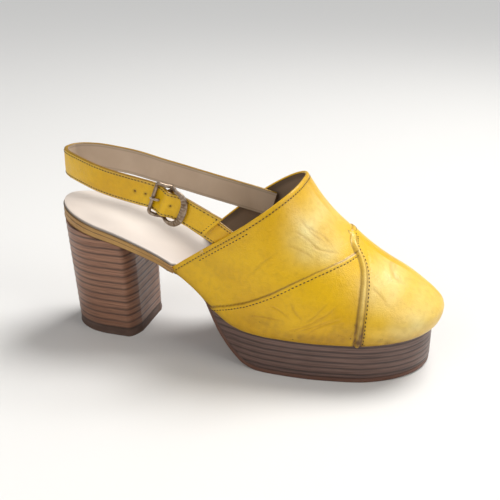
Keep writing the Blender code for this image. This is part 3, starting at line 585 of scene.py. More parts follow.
stations = np.linspace(0.0, 1.0, UPPER_STATIONS)
stations[-1] = 0.9985
skin = upper_grid(stations, UPPER_COLUMNS, UPPER_TUCK)
out = grid_normals(skin)
if (out[40, skin.shape[1] // 2, 2]) < 0.0:
    out = -out
crest_column = skin.shape[1] // 2
side = np.where(np.arange(skin.shape[1]) <= crest_column, -1, 1)[None, :] * np.ones(skin.shape[:2])
x, z = skin[..., 0], skin[..., 2]
from_rim = arc_length(skin, axis=0)
from_edge = arc_length(skin, axis=1)
from_edge = np.minimum(from_edge, from_edge[:, -1:] - from_edge)

lap_x, lap_z = side_line(OUTER_LAP, 60)
seam_x, seam_z = side_line(RAISED_SEAM, 70)
inner_x, inner_z = side_line(INNER_LAP, 60)
lap_path = even_path(on_surface(lap_x, lap_z, -1, skin), 60)
seam_path = even_path(on_surface(seam_x, seam_z, -1, skin), 60)
inner_path = even_path(on_surface(inner_x, inner_z, 1, skin), 60)
lap_gap, lap_run = nearest_on(skin, lap_path)
seam_gap, seam_run = nearest_on(skin, seam_path)
inner_gap, _ = nearest_on(skin, inner_path)
cord_x = np.interp(z, seam_z, seam_x)
lap_high = np.interp(x, lap_x, lap_z)
inner_high = np.interp(x, inner_x, inner_z)
behind = x < cord_x
lateral = side < 0
lap_side = np.where(z > lap_high, 1.0, -1.0) * lap_gap
inner_side = np.where(z > inner_high, 1.0, -1.0) * inner_gap
sunk = ease(lap_side, 0.0, 0.0006) * behind * lateral * ease(seam_gap, 0.0, 0.0012)
sunk = sunk + ease(inner_side, 0.0, 0.0006) * ~lateral * (x < RAISED_SEAM[-1][0] * SHOE_LENGTH)

relief = -LAP * sunk
# painted shade of creases and edges, carried in the tone layer's blue
painted_shade = np.zeros_like(relief)
seam_length = seam_run.max()
ending = 1.0 - ease(seam_run, seam_length - 0.013, seam_length - 0.001)
cord = CORD_RADIUS * (0.15 + 0.85 * ending)
ridge = np.sqrt(np.clip(cord ** 2 - seam_gap ** 2, 0.0, None)) * lateral * (ending > 0.001)
relief += ridge - 0.25 * MM * bell(seam_gap - 1.9 * MM, 0.6 * MM) * lateral * ending
lips = bell(lap_side + 0.9 * MM, 0.9 * MM) * behind * lateral
relief += 0.22 * MM * lips + 0.22 * MM * bell(inner_side + 0.9 * MM, 0.9 * MM) * ~lateral
relief -= 0.16 * MM * bell(lap_side + STITCH_INSET, 0.45 * MM) * behind * lateral
relief -= 0.16 * MM * bell(from_rim - STITCH_INSET, 0.45 * MM)
relief += 0.12 * MM * bell(from_rim - 0.6 * MM, 0.6 * MM)
toe_stitch = bell((x - cord_x) - 3.0 * MM, 0.5 * MM) * lateral * ~behind
relief -= 0.15 * MM * toe_stitch
for crease in CREASES:
    across, full = side_stroke(x, z, crease)
    width = crease[5] * MM
    press = full * bell(across, width * 0.5) * lateral
    swell = full * bell(np.abs(across) - width * 1.3, width * 0.8) * lateral
    relief += crease[4] * MM * (0.55 * swell - press)
    # painted shade along the crease's hollow
    painted_shade = np.maximum(painted_shade, 0.55 * press)
soft = waves(x, skin[..., 1], z, seed=3, count=9, size=0.020)
relief += 0.16 * MM * soft * ease(from_edge, 0.0, 0.02)
relief *= ease(np.linalg.norm(skin - skin[-1, crest_column], axis=-1), 0.0, 0.004)

stitch_dark = bell(lap_side + STITCH_INSET, 0.35 * MM) * behind * lateral * (0.5 + 0.5
    * np.cos(lap_run * 2.0 * math.pi / STITCH_PITCH))
edge_dark = bell(lap_side - 0.35 * MM, 0.45 * MM) * behind * lateral + bell(inner_side - 0.35 * MM,
    0.45 * MM) * ~lateral
cord_dark = bell(seam_gap - 2.0 * MM, 0.5 * MM) * lateral
rim_dark = 0.35 * bell(from_rim - STITCH_INSET, 0.5 * MM)
low_dark = 0.35 * bell(from_edge, 3.5 * MM)
dirt = spots(x, z, side, DIRT_SPOTS) * (0.65 + 0.5 * waves(x, z, seed=8, count=7, size=0.004))
dark = 0.75 * edge_dark + 0.65 * cord_dark + rim_dark + low_dark + dirt + 0.25 * stitch_dark
# painted highlights: pale sheen spots, and a pale line along the cord's top
pale = spots(x, z, side, PAINTED_HIGHLIGHT_SPOTS) * (0.85 + 0.35 * waves(x, z, seed=5, count=8, size=0.012))
pale += 0.25 * bell(seam_gap, 1.2 * MM) * lateral
# painted shade darkening towards the lower edge and the rim
painted_shade += 0.30 * ease(from_edge, 0.016, 0.0) + 0.20 * ease(from_rim, 0.014, 0.0)
leather_face = skin + out * relief[..., None]

rim_turn = np.linspace(math.radians(165.0), 0.0, RIM_STEPS + 1)[:-1]
back = leather_face[0] - leather_face[3]
back /= np.linalg.norm(back, axis=1)[:, None]
half_wall = WALL / 2.0
rim = [leather_face[0] - out[0] * half_wall + half_wall
       * (math.cos(a) * out[0] + math.sin(a) * back) for a in rim_turn]
tone = [np.concatenate([np.repeat(t[:1], RIM_STEPS, axis=0), t]) for t in (dark, pale, painted_shade)]
upper = grid_piece("upper_leather", np.concatenate([np.array(rim), leather_face]), golden, tone)
stands_for(upper, "golden_leather", "upper")

# Upper's lining: taupe leather, glued in all over, its edge trimmed just inside the rolled rim.


def plain_leather(name, base, shade, roughness, scale=140.0, bump=0.35, depth=0.0003, coat=0.0):
    """Leather or board of one colour with a shade in clouds, and the tone layer's dirt, wear, painted shade
    and painted highlights.
    """
    material, tree = new_material(name)
    dark, pale, painted_shade = tone_parts(tree)[:3]
    cloud = ramp(tree, noise(tree, scale * 0.3, 6.0, 0.5), 0.35, 0.75)
    colour = blend(tree, times(tree, cloud, 0.7), base, shade)
    colour = blend(tree, pale, colour, [min(1.0, c * 1.35 + 0.06) for c in base])
    colour = blend(tree, dark, colour, [c * 0.16 for c in shade])
    height = noise(tree, scale * 6.0, 6.0)
    rough = ramp(tree, noise(tree, scale, 4.0), 0.3, 0.7, roughness - 0.08, roughness + 0.08)
    return finish(material, colour, rough, height, bump, depth, Coat_Weight=coat, Coat_Roughness=0.3)


lining = plain_leather("lining_leather", (0.300, 0.215, 0.150), (0.200, 0.135, 0.090), 0.62)

LINING_STATIONS = np.linspace(0.0, 0.97, 110)
inside = upper_grid(LINING_STATIONS, 60, 4)
inward = grid_normals(inside)
if inward[20, inside.shape[1] // 2, 2] > 0.0:
    inward = -inward
run_in = arc_length(inside, axis=0)
wrinkle = 0.12 * MM * waves(inside[..., 0], inside[..., 1], inside[..., 2], seed=12, count=8, size=0.014)
depth = WALL - 0.25 * MM + wrinkle * ease(run_in, 0.0, 0.01)
lining_dark = 0.45 * bell(run_in - 2.4 * MM, 0.4 * MM) + 0.25 * bell(run_in, 1.2 * MM)
lining_tone = (lining_dark, 0.0 * run_in, 0.0 * run_in)
lining_piece = grid_piece("upper_lining", inside + inward * depth[..., None], lining, lining_tone, flip=True)
stands_for(lining_piece, "golden_leather")

# Stitch rows of the upper: along the topline, under the lap's lip and on the toe side of the cord,
# with a second short row where each strap is sewn in.


def dots_piece(name, centres, along, out, size, material):
    """Many small rounded stitches in one mesh: length, width and height of each in size."""
    rings = np.linspace(-1.0, 1.0, 5)
    angle = np.linspace(0.0, 2.0 * math.pi, 6, endpoint=False)
    thick = np.sqrt(1.0 - 0.98 * rings ** 4)
    side = np.cross(out, along)
    local = np.stack([
        np.broadcast_to(rings[:, None], (5, 6)) * size[0] / 2.0,
        thick[:, None] * np.cos(angle) * size[1] / 2.0,
        thick[:, None] * np.sin(angle) * size[2] / 2.0], axis=-1)
    axes = np.stack([along, side, out], axis=1)
    points = centres[:, None, None] + np.einsum("rsk,nkc->nrsc", local, axes)
    one = grid_faces(5, 6, True)
    quads = (one[None] + (np.arange(len(centres)) * 30)[:, None, None]).reshape(-1, 4)
    return make_piece(name, points, quads[:, ::-1], material)


thread = plain_leather("brown_thread", (0.050, 0.022, 0.008), (0.030, 0.012, 0.005), 0.70, 600.0)


def row_on_skin(mask_path, lift, count):
    """Even stitch places along a path on the upper, with their run and outward direction."""
    path = even_path(mask_path, count)
    along = np.gradient(path, axis=0)
    along /= np.linalg.norm(along, axis=1)[:, None]
    flat = leather_face.reshape(-1, 3)
    normals = out.reshape(-1, 3)
    spots_at, outs = [], []
    for point in path:
        near = int(np.argmin(((flat - point) ** 2).sum(axis=1)))
        outs.append(normals[near])
        spots_at.append(point + normals[near] * ((flat[near] - point) @ normals[near] + lift))
    outs = np.array(outs)
    along -= (along * outs).sum(axis=1)[:, None] * outs
    along /= np.linalg.norm(along, axis=1)[:, None]
    return np.array(spots_at), along, outs


def contour(field, level, start, stop):
    """Points of the skin where a field along the stations reaches a level, for columns start to stop."""
    points = []
    for column in range(start, stop, 3):
        value = field[:, column]
        row = np.interp(level, value, np.arange(len(value)))
        low = int(row)
        share = row - low
        points.append(skin[low, column] * (1.0 - share) + skin[min(low + 1, len(skin) - 1), column] * share)
    return np.array(points)


def offset_path(path, distance, towards):
    """Path moved over the skin by a distance, towards a direction."""
    along = np.gradient(path, axis=0)
    along /= np.linalg.norm(along, axis=1)[:, None]
    flat = skin.reshape(-1, 3)
    normals = out.reshape(-1, 3)
    moved = []
    for point, leg in zip(path, along):
        normal = normals[int(np.argmin(((flat - point) ** 2).sum(axis=1)))]
        step = np.cross(leg, normal)
        step *= np.sign(step @ towards)
        moved.append(point + step * distance / np.linalg.norm(step))
    return np.array(moved)


STITCH_SIZE = (1.45 * MM, 0.62 * MM, 0.50 * MM)
DOWN = np.array([0.0, 0.0, -1.0])
FORWARD = np.array([1.0, 0.0, 0.0])
columns_all = skin.shape[1]
rows_wanted = [
    ("stitches_topline", contour(from_rim, STITCH_INSET, 8, columns_all - 8)),
    ("stitches_topline_outer_strap", contour(from_rim, 2.3 * STITCH_INSET, 40, 100)),
    ("stitches_topline_inner_strap", contour(from_rim, 2.3 * STITCH_INSET, columns_all - 110,
                                             columns_all - 45)),
    ("stitches_outer_lap", offset_path(lap_path[:-1], STITCH_INSET, DOWN)),
    ("stitches_inner_lap", offset_path(inner_path[:-1], STITCH_INSET, DOWN)),
    ("stitches_cord", offset_path(seam_path[1:-1], 3.1 * MM, FORWARD)),
]
for row_name, row_path in rows_wanted:
    count = int(arc_length(row_path)[-1] / STITCH_PITCH)
    middles, along, outs = row_on_skin(row_path, 0.02 * MM, count)
    stands_for(dots_piece(row_name, middles, along, outs, STITCH_SIZE, thread), "golden_leather")

# Straps: flat bands with rounded edges on the routes of the solids, a dark burnished edge, a lining on
# the inner face, a stitch row along each edge and punched holes.

GAP = 0.0003

LONG_ROUTE = [
    # along, across, height
    (0.4520, -0.7590, 0.7790),
    (0.4250, -0.7430, 0.8030),
    (0.3760, -0.7080, 0.8470),
    (0.3400, -0.6840, 0.8755),
    (0.3110, -0.6680, 0.8970),
    (0.2900, -0.6560, 0.9095),
    (0.2600, -0.6370, 0.9180),
    (0.2170, -0.6070, 0.9290),
    (0.1720, -0.5690, 0.9420),
    (0.1270, -0.5080, 0.9570),
    (0.0900, -0.4200, 0.9680),
    (0.0560, -0.3150, 0.9740),
    (0.0300, -0.2180, 0.9770),
    (0.0090, -0.1000, 0.9790),
    (0.0000, 0.0300, 0.9790),
    (0.0040, 0.1800, 0.9780),
    (0.0220, 0.3000, 0.9760),
    (0.0620, 0.4000, 0.9690),
    (0.1100, 0.4620, 0.9530),
    (0.1550, 0.5050, 0.9350),
    (0.2290, 0.5600, 0.8920),
    (0.3070, 0.5850, 0.8540),
    (0.3800, 0.5860, 0.8210),
    (0.4400, 0.5950, 0.7930),
    (0.4900, 0.6350, 0.7640),
    (0.5350, 0.6726, 0.7360),
]
SHORT_ROUTE = [
    # along, across, height
    (0.3336, -0.6200, 0.8800),
    (0.3761, -0.6450, 0.8320),
    (0.4252, -0.6650, 0.7730),
    (0.4522, -0.6770, 0.7436),
    (0.4824, -0.7050, 0.7091),
    (0.5233, -0.7560, 0.6636),
]
STRAP_WIDTH = 0.0170
STRAP_THICK = 0.0024
STRAP_TAIL_WIDTH = 0.0163
TAB_WIDTH = 0.0150
TAB_THICK = 0.0020
TIP_SLANT = 0.0075
BUCKLE_WIRE = 0.0011
BUCKLE_BACK = 0.0080
BUCKLE_FRONT = 0.0125
BUCKLE_HALF = 0.0102
BUCKLE_BAND = 0.0022
BAR_ALONG = 0.3320
BAR_RADIUS = 0.0010
BAR_DEPTH = 0.0017
EYE_WALL = 0.0010
PRONG_RADIUS = 0.0008
STRAP_STITCH_INSET = 0.0016
STRAP_STITCH = (1.25 * MM, 0.55 * MM, 0.45 * MM)
STRAP_PITCH = 0.0021
HOLE_RADIUS = 0.00075
HOLE_PITCH = 0.0090


def route_points(table, step):
    """Evenly spaced points of a strap's outer face at mid width, with their distance along it."""
    knots = np.array(table, float) * np.array([SHOE_LENGTH, BALL_LATERAL, INSTEP_HEIGHT])
    keyed = np.column_stack([arc_length(knots), knots])
    t = np.arange(0.0, keyed[-1, 0], step)
    return t, np.stack([smooth(t, keyed, column) for column in (1, 2, 3)], axis=-1)


def strap_axes(points, facing):
    """Unit vectors along a route, out of its face (facing is 1 or -1) and up across its width."""
    along = np.gradient(points, axis=0)
    along /= np.linalg.norm(along, axis=1)[:, None]
    outward = facing * np.cross(along, np.array([0.0, 0.0, 1.0]))
    outward /= np.linalg.norm(outward, axis=1)[:, None]
    up = np.cross(outward, along)
    return along, outward, up * np.sign(up[:, 2:])


def bar_place(points):
    miss = np.abs(points[:, 0] - BAR_ALONG * SHOE_LENGTH)
    return int(np.argmin(np.where(points[:, 1] < 0.0, miss, SHOE_LENGTH)))


fine_t, fine_route = route_points(LONG_ROUTE, GAP)
bar_index = bar_place(fine_route)
forward = fine_route[0] - fine_route[bar_index]
forward /= np.linalg.norm(forward)
bar_out = np.cross(forward, np.array([0.0, 0.0, -1.0]))
bar_out /= np.linalg.norm(bar_out)
bar_out *= -np.sign(bar_out[1])
bar_up = np.cross(bar_out, forward)
bar_up *= np.sign(bar_up[2])
bar_middle = fine_route[bar_index] - bar_out * BAR_DEPTH


def band_piece(name, face, up, outward, width, thick, slant, material, pits=()):
    """Closed band round its section: front face, rounded edges, back.

    Pits are punched holes, each a run and a place across.
    """
    front = np.linspace(-1.0, 1.0, 41)
    edge = np.linspace(0.0, math.pi, 9)[1:-1]
    back_row = np.linspace(1.0, -1.0, 13)
    radius = thick / 2.0
    reach = (width / 2.0 - radius)[:, None]
    w = np.concatenate([np.broadcast_to(front, (len(face), 41)) * reach,
                        reach + radius * np.sin(edge), np.broadcast_to(back_row, (len(face), 13)) * reach,
                        -reach - radius * np.sin(edge)], axis=1)
    n = np.concatenate([np.zeros(41), radius * np.cos(edge) - radius, np.full(13, -thick),
                        -radius - radius * np.cos(edge)])[None, :] * np.ones((len(face), 1))
    run = arc_length(face)[:, None] * np.ones_like(w)
    is_front = (n > -0.1 * MM)
    crown = 0.16 * MM * (1.0 - (w / reach) ** 2) - 0.16 * MM
    n = n + crown * is_front
    n = n - 0.14 * MM * bell(np.abs(w) - (width[:, None] / 2.0 - STRAP_STITCH_INSET), 0.45 * MM) * is_front
    n = n + 0.05 * MM * waves(run, w, seed=len(name), count=6, size=0.012) * is_front
    dark = 0.70 * (1.0 - is_front) * (n > -0.9 * thick)
    dark = dark + 0.35 * bell(np.abs(w) - (width[:, None] / 2.0 - STRAP_STITCH_INSET), 0.5 * MM) * is_front
    for hole_run, hole_across in pits:
        gap = np.hypot(run - hole_run, w - hole_across)
        cup = (1.0 - ease(gap, 0.55 * HOLE_RADIUS, 1.1 * HOLE_RADIUS)) * is_front
        n = n - 0.9 * MM * cup
        # painted shade: the sunk cup of each hole is darkened as the inside of the hole
        dark = np.maximum(dark, cup)
        dark = dark + 0.25 * bell(gap - 1.5 * HOLE_RADIUS, 0.4 * MM) * is_front
    points = face[:, None] + up[:, None] * w[..., None] + outward[:, None] * n[..., None]
    shift = (1.0 - ease(run, 0.0, 0.012)) * (w / (width[:, None] / 2.0))
    points = points + shift[..., None] * slant
    ends = [points[:1].mean(axis=1, keepdims=True) * np.ones_like(points[:1]),
            points[-1:].mean(axis=1, keepdims=True) * np.ones_like(points[:1])]
    points = np.concatenate([ends[0], points, ends[1]])
    pad = lambda t: np.concatenate([t[:1], t, t[-1:]])
    pale = 0.22 * ease(np.abs(w), width.mean() * 0.30, width.mean() * 0.48) * is_front
    tone = (pad(dark), pad(pale), pad(np.zeros_like(w)))
    return grid_piece(name, points, material, tone, closed=True)


def edge_rows(name, face, up, outward, width, slant, keep, pitch=STRAP_PITCH):
    """Stitch row along each edge of a band's face, over the part of its run that keep allows."""
    run = arc_length(face)
    for label, sign in (("upper", 1.0), ("lower", -1.0)):
        inset = sign * (width / 2.0 - STRAP_STITCH_INSET)[:, None]
        path = face + up * inset + slant * (1.0 - ease(run, 0.0, 0.012))[:, None] * sign * 0.8
        t = np.arange(keep[0], keep[1], pitch)
        places = np.stack([np.interp(t, run, path[:, k]) for k in range(3)], axis=-1)
        outs = np.stack([np.interp(t, run, outward[:, k]) for k in range(3)], axis=-1)
        outs /= np.linalg.norm(outs, axis=1)[:, None]
        along = np.gradient(places, axis=0)
        along -= (along * outs).sum(axis=1)[:, None] * outs
        along /= np.linalg.norm(along, axis=1)[:, None]
        piece = dots_piece(f"{name}_{label}", places - outs * 0.12 * MM, along, outs, STRAP_STITCH, thread)
        stands_for(piece, "golden_leather")


long_t, long_face = route_points(LONG_ROUTE, 0.42 * MM)
long_bar = long_t[bar_place(long_face)]
_, long_out, long_up = strap_axes(long_face, -1.0)
held = np.exp(-((long_t - long_bar) / (2.0 * BUCKLE_BACK)) ** 4)[:, None]
long_up = long_up * (1.0 - held) + bar_up * held
long_up /= np.linalg.norm(long_up, axis=1)[:, None]
rise = BAR_RADIUS + EYE_WALL + 2.0 * GAP - BAR_DEPTH + STRAP_THICK
long_face = long_face + long_out * (rise * bell(long_t - long_bar, 0.5 * BUCKLE_BACK))[:, None]
long_width = STRAP_TAIL_WIDTH + (STRAP_WIDTH - STRAP_TAIL_WIDTH) * np.clip((long_t
    - long_bar) / BUCKLE_BACK + 0.5, 0.0, 1.0)
tip_slant = (long_face[0] - long_face[1]) / np.linalg.norm(long_face[0] - long_face[1]) * TIP_SLANT / 2.0
holes = [(long_bar - 0.35 * HOLE_PITCH, 0.0), (long_bar + 1.75 * HOLE_PITCH, 0.0),
         (long_bar + 2.55 * HOLE_PITCH, 0.0)]
strap = band_piece("heel_strap_leather", long_face, long_up, long_out, long_width, STRAP_THICK, tip_slant,
                   golden, holes)
stands_for(strap, "golden_leather", "heel_strap")
strap_end = arc_length(long_face)[-1]
edge_rows("heel_strap_stitches", long_face, long_up, long_out, long_width, tip_slant, (0.0022, strap_end))
tip_path = long_face[5] + np.linspace(-0.36, 0.36, 7)[:, None] * STRAP_TAIL_WIDTH * long_up[5]
tip_path = tip_path + np.linspace(-0.72, 0.72, 7)[:, None] * tip_slant
tip_along = np.gradient(tip_path, axis=0)
tip_along /= np.linalg.norm(tip_along, axis=1)[:, None]
tip_out = np.repeat(long_out[5][None], 7, axis=0)
stands_for(dots_piece("heel_strap_stitches_tip", tip_path - tip_out * 0.12 * MM, tip_along, tip_out,
                      STRAP_STITCH, thread), "golden_leather")

# Strap lining: thin grey-beige leather on the strap's inner face, a little narrower than the strap.

strap_lining = plain_leather("strap_lining_leather", (0.560, 0.440, 0.330), (0.430, 0.320, 0.230), 0.62)

lining_w = np.linspace(-1.0, 1.0, 25)
lining_reach = (long_width / 2.0 - 0.35 * MM)[:, None] * lining_w
lift = STRAP_THICK + 0.10 * MM + 0.03 * MM * waves(long_t[:, None] * np.ones(25), lining_reach, seed=31,
                                                   count=6, size=0.02)
lining_face = long_face[:, None] + long_up[:, None] * lining_reach[..., None] - long_out[:,
    None] * lift[..., None]
edge_shade = 0.45 * ease(np.abs(lining_w), 0.90, 1.0)[None, :] + 0.30 * bell(np.abs(lining_w) - 0.83,
    0.035)[None, :]
strap_lining_piece = grid_piece("heel_strap_lining", lining_face[12:], strap_lining,
                                (edge_shade * np.ones_like(lift)[12:], 0.0 * lift[12:], 0.0 * lift[12:]),
                                flip=True)
stands_for(strap_lining_piece, "golden_leather")

# Short strap: the same band folded round the buckle's bar, sewn into the topline in front.


short_t, short_face = route_points(SHORT_ROUTE, 0.42 * MM)
_, short_out, short_up = strap_axes(short_face, 1.0)
short_width = np.full(len(short_t), TAB_WIDTH)
tab = band_piece("buckle_strap_leather", short_face, short_up, short_out, short_width, TAB_THICK,
                 np.zeros(3), golden)
stands_for(tab, "golden_leather", "buckle_strap")
edge_rows("buckle_strap_stitches", short_face, short_up, short_out, short_width, np.zeros(3),
          (0.006, arc_length(short_face)[-1] - 0.002))
eye_angle = np.linspace(0.0, 2.0 * math.pi, 29)[:-1]
eye_w = np.linspace(-1.0, 1.0, 21) * TAB_WIDTH / 2.0
eye_radius = BAR_RADIUS + GAP + EYE_WALL - 0.25 * MM * ease(np.abs(eye_w), TAB_WIDTH * 0.42, TAB_WIDTH * 0.5)
eye = bar_middle + eye_w[:, None, None] * bar_up + eye_radius[:, None, None] * (
    np.cos(eye_angle)[None, :, None] * forward + np.sin(eye_angle)[None, :, None] * bar_out)
eye_tone = (np.zeros(eye.shape[:2]), np.zeros(eye.shape[:2]), np.zeros(eye.shape[:2]))
stands_for(grid_piece("buckle_strap_fold", eye, golden, eye_tone, closed=True), "golden_leather")

# Buckle: cast bronze frame with a straight back, rails dipping to the bar and a broad reeded front.


def bar_piece(name, path, radii, sides, material, flat=1.0, tone=None):
    """Round bar along a path with the given radii; flat squeezes it across its second axis."""
    along = np.gradient(path, axis=0)
    along /= np.linalg.norm(along, axis=1)[:, None]
    across = np.cross(along, np.array([0.13, 0.21, 0.97]))
    across /= np.linalg.norm(across, axis=1)[:, None]
    other = np.cross(along, across)
    angle = np.linspace(0.0, 2.0 * math.pi, sides, endpoint=False)
    ring = np.cos(angle)[None, :, None] * across[:, None] + flat * np.sin(angle)[None, :, None] * other[:,
        None]
    return grid_piece(name, path[:, None] + radii[:, None, None] * ring, material, tone, closed=True,
                      flip=True)


def bronze_material(name):
    """Antique bronze: dark in the hollows, rubbed to pale metal on the edges."""
    material, tree = new_material(name)
    edges = ramp(tree, add(tree, "ShaderNodeNewGeometry").outputs["Pointiness"], 0.50, 0.58)
    worn = times(tree, edges, ramp(tree, noise(tree, 500.0, 4.0), 0.35, 0.60))
    base = blend(tree, ramp(tree, noise(tree, 350.0, 5.0), 0.35, 0.7), (0.170, 0.105, 0.060),
                 (0.300, 0.215, 0.150))
    colour = blend(tree, worn, base, (0.720, 0.640, 0.540))
    rough = ramp(tree, noise(tree, 420.0, 3.0), 0.3, 0.7, 0.30, 0.52)
    return finish(material, colour, rough, noise(tree, 900.0, 3.0), 0.2, 0.0001, Metallic=0.9)


bronze = bronze_material("antique_bronze")

WIRE_LEVEL = BAR_DEPTH + 2.0 * GAP + BUCKLE_WIRE
corner = 1.6 * BUCKLE_WIRE
bend = 0.4 * BUCKLE_FRONT
rail = np.linspace(corner - BUCKLE_BACK, bend, 33)
turn = np.linspace(0.0, math.pi, 66)[1:-1]
rise_row = np.linspace(-1.0, 1.0, 30) * (BUCKLE_HALF - corner)
round_f = bend + (BUCKLE_FRONT - bend) * np.sin(turn) ** 0.8
round_u = BUCKLE_HALF * np.sign(np.cos(turn)) * np.abs(np.cos(turn)) ** 0.8
corner_turn = np.linspace(0.0, math.pi / 2.0, 8)[1:-1]
corner_f = corner - BUCKLE_BACK - corner * np.cos(corner_turn)
corner_u = BUCKLE_HALF - corner + corner * np.sin(corner_turn)
ring_f = np.concatenate([np.full(30, -BUCKLE_BACK), corner_f, rail, round_f, rail[::-1], corner_f[::-1]])
ring_u = np.concatenate([rise_row, corner_u, np.full(33, BUCKLE_HALF), round_u, np.full(33, -BUCKLE_HALF),
                         -corner_u[::-1]])
on_rail = np.abs(ring_u) > 0.99 * BUCKLE_HALF
ring_n = WIRE_LEVEL * (1.0 - bell(ring_f, 0.4 * BUCKLE_BACK) * on_rail)
middle = np.stack([ring_f, ring_u, ring_n], axis=-1)
broad = np.clip((ring_f - bend) / (BUCKLE_FRONT - bend), 0.0, 1.0)
wide = BUCKLE_WIRE + (BUCKLE_BAND - BUCKLE_WIRE) * broad
tangent = np.roll(middle, -1, axis=0) - np.roll(middle, 1, axis=0)
tangent /= np.linalg.norm(tangent, axis=1)[:, None]
across = np.cross(tangent, np.array([0.0, 0.0, 1.0]))
across /= np.linalg.norm(across, axis=1)[:, None]
lift_axis = np.cross(across, tangent)
angle = np.linspace(0.0, 2.0 * math.pi, 25)[:-1]
reeds = 0.10 * MM * broad * np.sin(arc_length(middle) * 2.0 * math.pi / (1.9 * MM))
high = BUCKLE_WIRE + reeds
section = (wide[:, None, None] * np.sign(np.cos(angle))[None, :, None]
           * (np.abs(np.cos(angle)) ** 0.75)[None, :, None] * across[:, None]
           + high[:, None, None] * np.sign(np.sin(angle))[None, :,
                                                          None] * (np.abs(np.sin(angle)) ** 0.85)[None, :,
                                                              None] * lift_axis[:, None])
ring = middle[:, None] + section
ring = np.concatenate([ring, ring[:1]])
ring_world = bar_middle + ring @ np.stack([forward, bar_up, bar_out])
stands_for(grid_piece("buckle_frame_cast", ring_world, bronze, closed=True), "dark_bronze", "buckle_frame")
bar_path = bar_middle + np.linspace(-1.0, 1.0, 9)[:, None] * bar_up * BUCKLE_HALF
stands_for(bar_piece("buckle_bar_round", bar_path, np.full(9, BAR_RADIUS), 16, bronze), "dark_bronze")

# Prong: a bronze tongue from the bar up through the strap, its tip resting over the frame's back.


share = np.linspace(0.0, 1.0, 33)
prong_start = BAR_RADIUS + GAP + PRONG_RADIUS
prong_rest = WIRE_LEVEL + BUCKLE_WIRE + GAP + PRONG_RADIUS
prong_back = prong_start + (BUCKLE_BACK + BUCKLE_WIRE - prong_start) * share
prong_rise = prong_rest * np.sin(np.clip(1.2 * share, 0.0, 1.0) * math.pi / 2.0)
prong_path = bar_middle - forward * prong_back[:, None] + bar_out * prong_rise[:, None]
prong_radii = PRONG_RADIUS * (1.0 - 0.4 * share ** 4) * np.sqrt(np.clip(1.0 - (2.0 * share - 1.0) ** 40,
    0.0, 1.0))
stands_for(bar_piece("buckle_prong_tongue", prong_path, prong_radii, 14, bronze), "dark_bronze",
           "buckle_prong")

# Loose thread at the outer strap's seam: a few frayed pale ends.

pale_thread = plain_leather("pale_thread", (0.760, 0.660, 0.480), (0.600, 0.500, 0.340), 0.75, 600.0)

FRAY_AT = (0.4240, 0.6390)
fray_root = on_surface([FRAY_AT[0] * SHOE_LENGTH], [FRAY_AT[1] * INSTEP_HEIGHT], -1, skin)[0]
draw = np.random.default_rng(17)
for number in range(5):
    lean = np.array([draw.uniform(-1.0, 0.6), -0.9, draw.uniform(-0.6, 0.9)])
    lean /= np.linalg.norm(lean)
    droop = np.linspace(0.0, 1.0, 9)
    length = draw.uniform(1.4, 3.0) * MM
    path = fray_root + droop[:, None] * lean * length + np.outer(droop ** 2, [0.0, 0.0, -0.0008])
    fray = bar_piece(f"frayed_thread_{number}", path, 0.10 * MM * (1.0 - 0.5 * droop), 6, pale_thread)
    stands_for(fray, "golden_leather")

# Sock: pale leather glued on the board, from the heel to just short of the toe. Its edges are
# rolled down and darker along them, and it is rubbed pale under the heel.

BOARD_HEEL = 0.0068
BOARD_FRONT = 0.0034


def board_over(x):
    """Height of the insole board's top: it is thick at the heel seat and thins to the ball."""
    share = np.clip(np.asarray(x) / TOPLINE_END_X, 0.0, 1.0)
    return board_under(x) + BOARD_HEEL + (BOARD_FRONT - BOARD_HEEL) * share ** 1.4


sock_leather = plain_leather("sock_leather_worn", (0.720, 0.640, 0.570), (0.540, 0.440, 0.370), 0.42, 70.0,
                             0.25, 0.0002, 0.15)

SOCK = 0.0013
across_share = np.sin(np.linspace(-1.0, 1.0, 71) * math.pi / 2.0)
sock_x = SHOE_LENGTH * 0.93 * (1.0 - np.cos(np.linspace(0.02, math.pi * 0.97, 180))) / 2.0
sock_inset = np.where(sock_x < TOPLINE_END_X - 2.0 * GAP, 0.0011, tuck(sock_x) + WALL + 3.0 * GAP)
sock_left = outline(sock_x, -1, sock_inset)
sock_right = outline(sock_x, 1, sock_inset)
sock_mid = (sock_left + sock_right) / 2.0
sock_half = (sock_right - sock_left) / 2.0
sock_y = sock_mid[:, None] + sock_half[:, None] * across_share
margin = np.minimum(sock_half[:, None] * (1.0 - np.abs(across_share)), 4.0 * sock_x[:, None])
roll = SOCK * (1.0 - np.clip(margin / (1.2 * MM), 0.0, 1.0)) ** 2
sock_z = board_over(sock_x)[:, None] + GAP + SOCK - roll
sock_z += 0.10 * MM * waves(sock_x[:, None] * np.ones(71), sock_y, seed=21, count=8, size=0.02)
sock_points = np.stack([sock_x[:, None] * np.ones(71), sock_y, sock_z], axis=-1)
sock_dark = 0.80 * bell(margin, 0.7 * MM) + 0.22 * np.clip(waves(sock_points[..., 0], sock_y, seed=22,
    count=9, size=0.03), 0.0, 1.0)
sock_pale = 0.5 * bell(sock_points[..., 0] - 0.045, 0.03) * bell(sock_y, 0.02)
sock = grid_piece("insole_sock_leather", sock_points, sock_leather, (sock_dark, sock_pale, 0.0 * sock_dark),
                  flip=True)
stands_for(sock, "sock_leather", "insole_sock")

# Walls of the sole: the rand and the platform are bands of levels round an outline. Each has its
# own relief and its own tone.


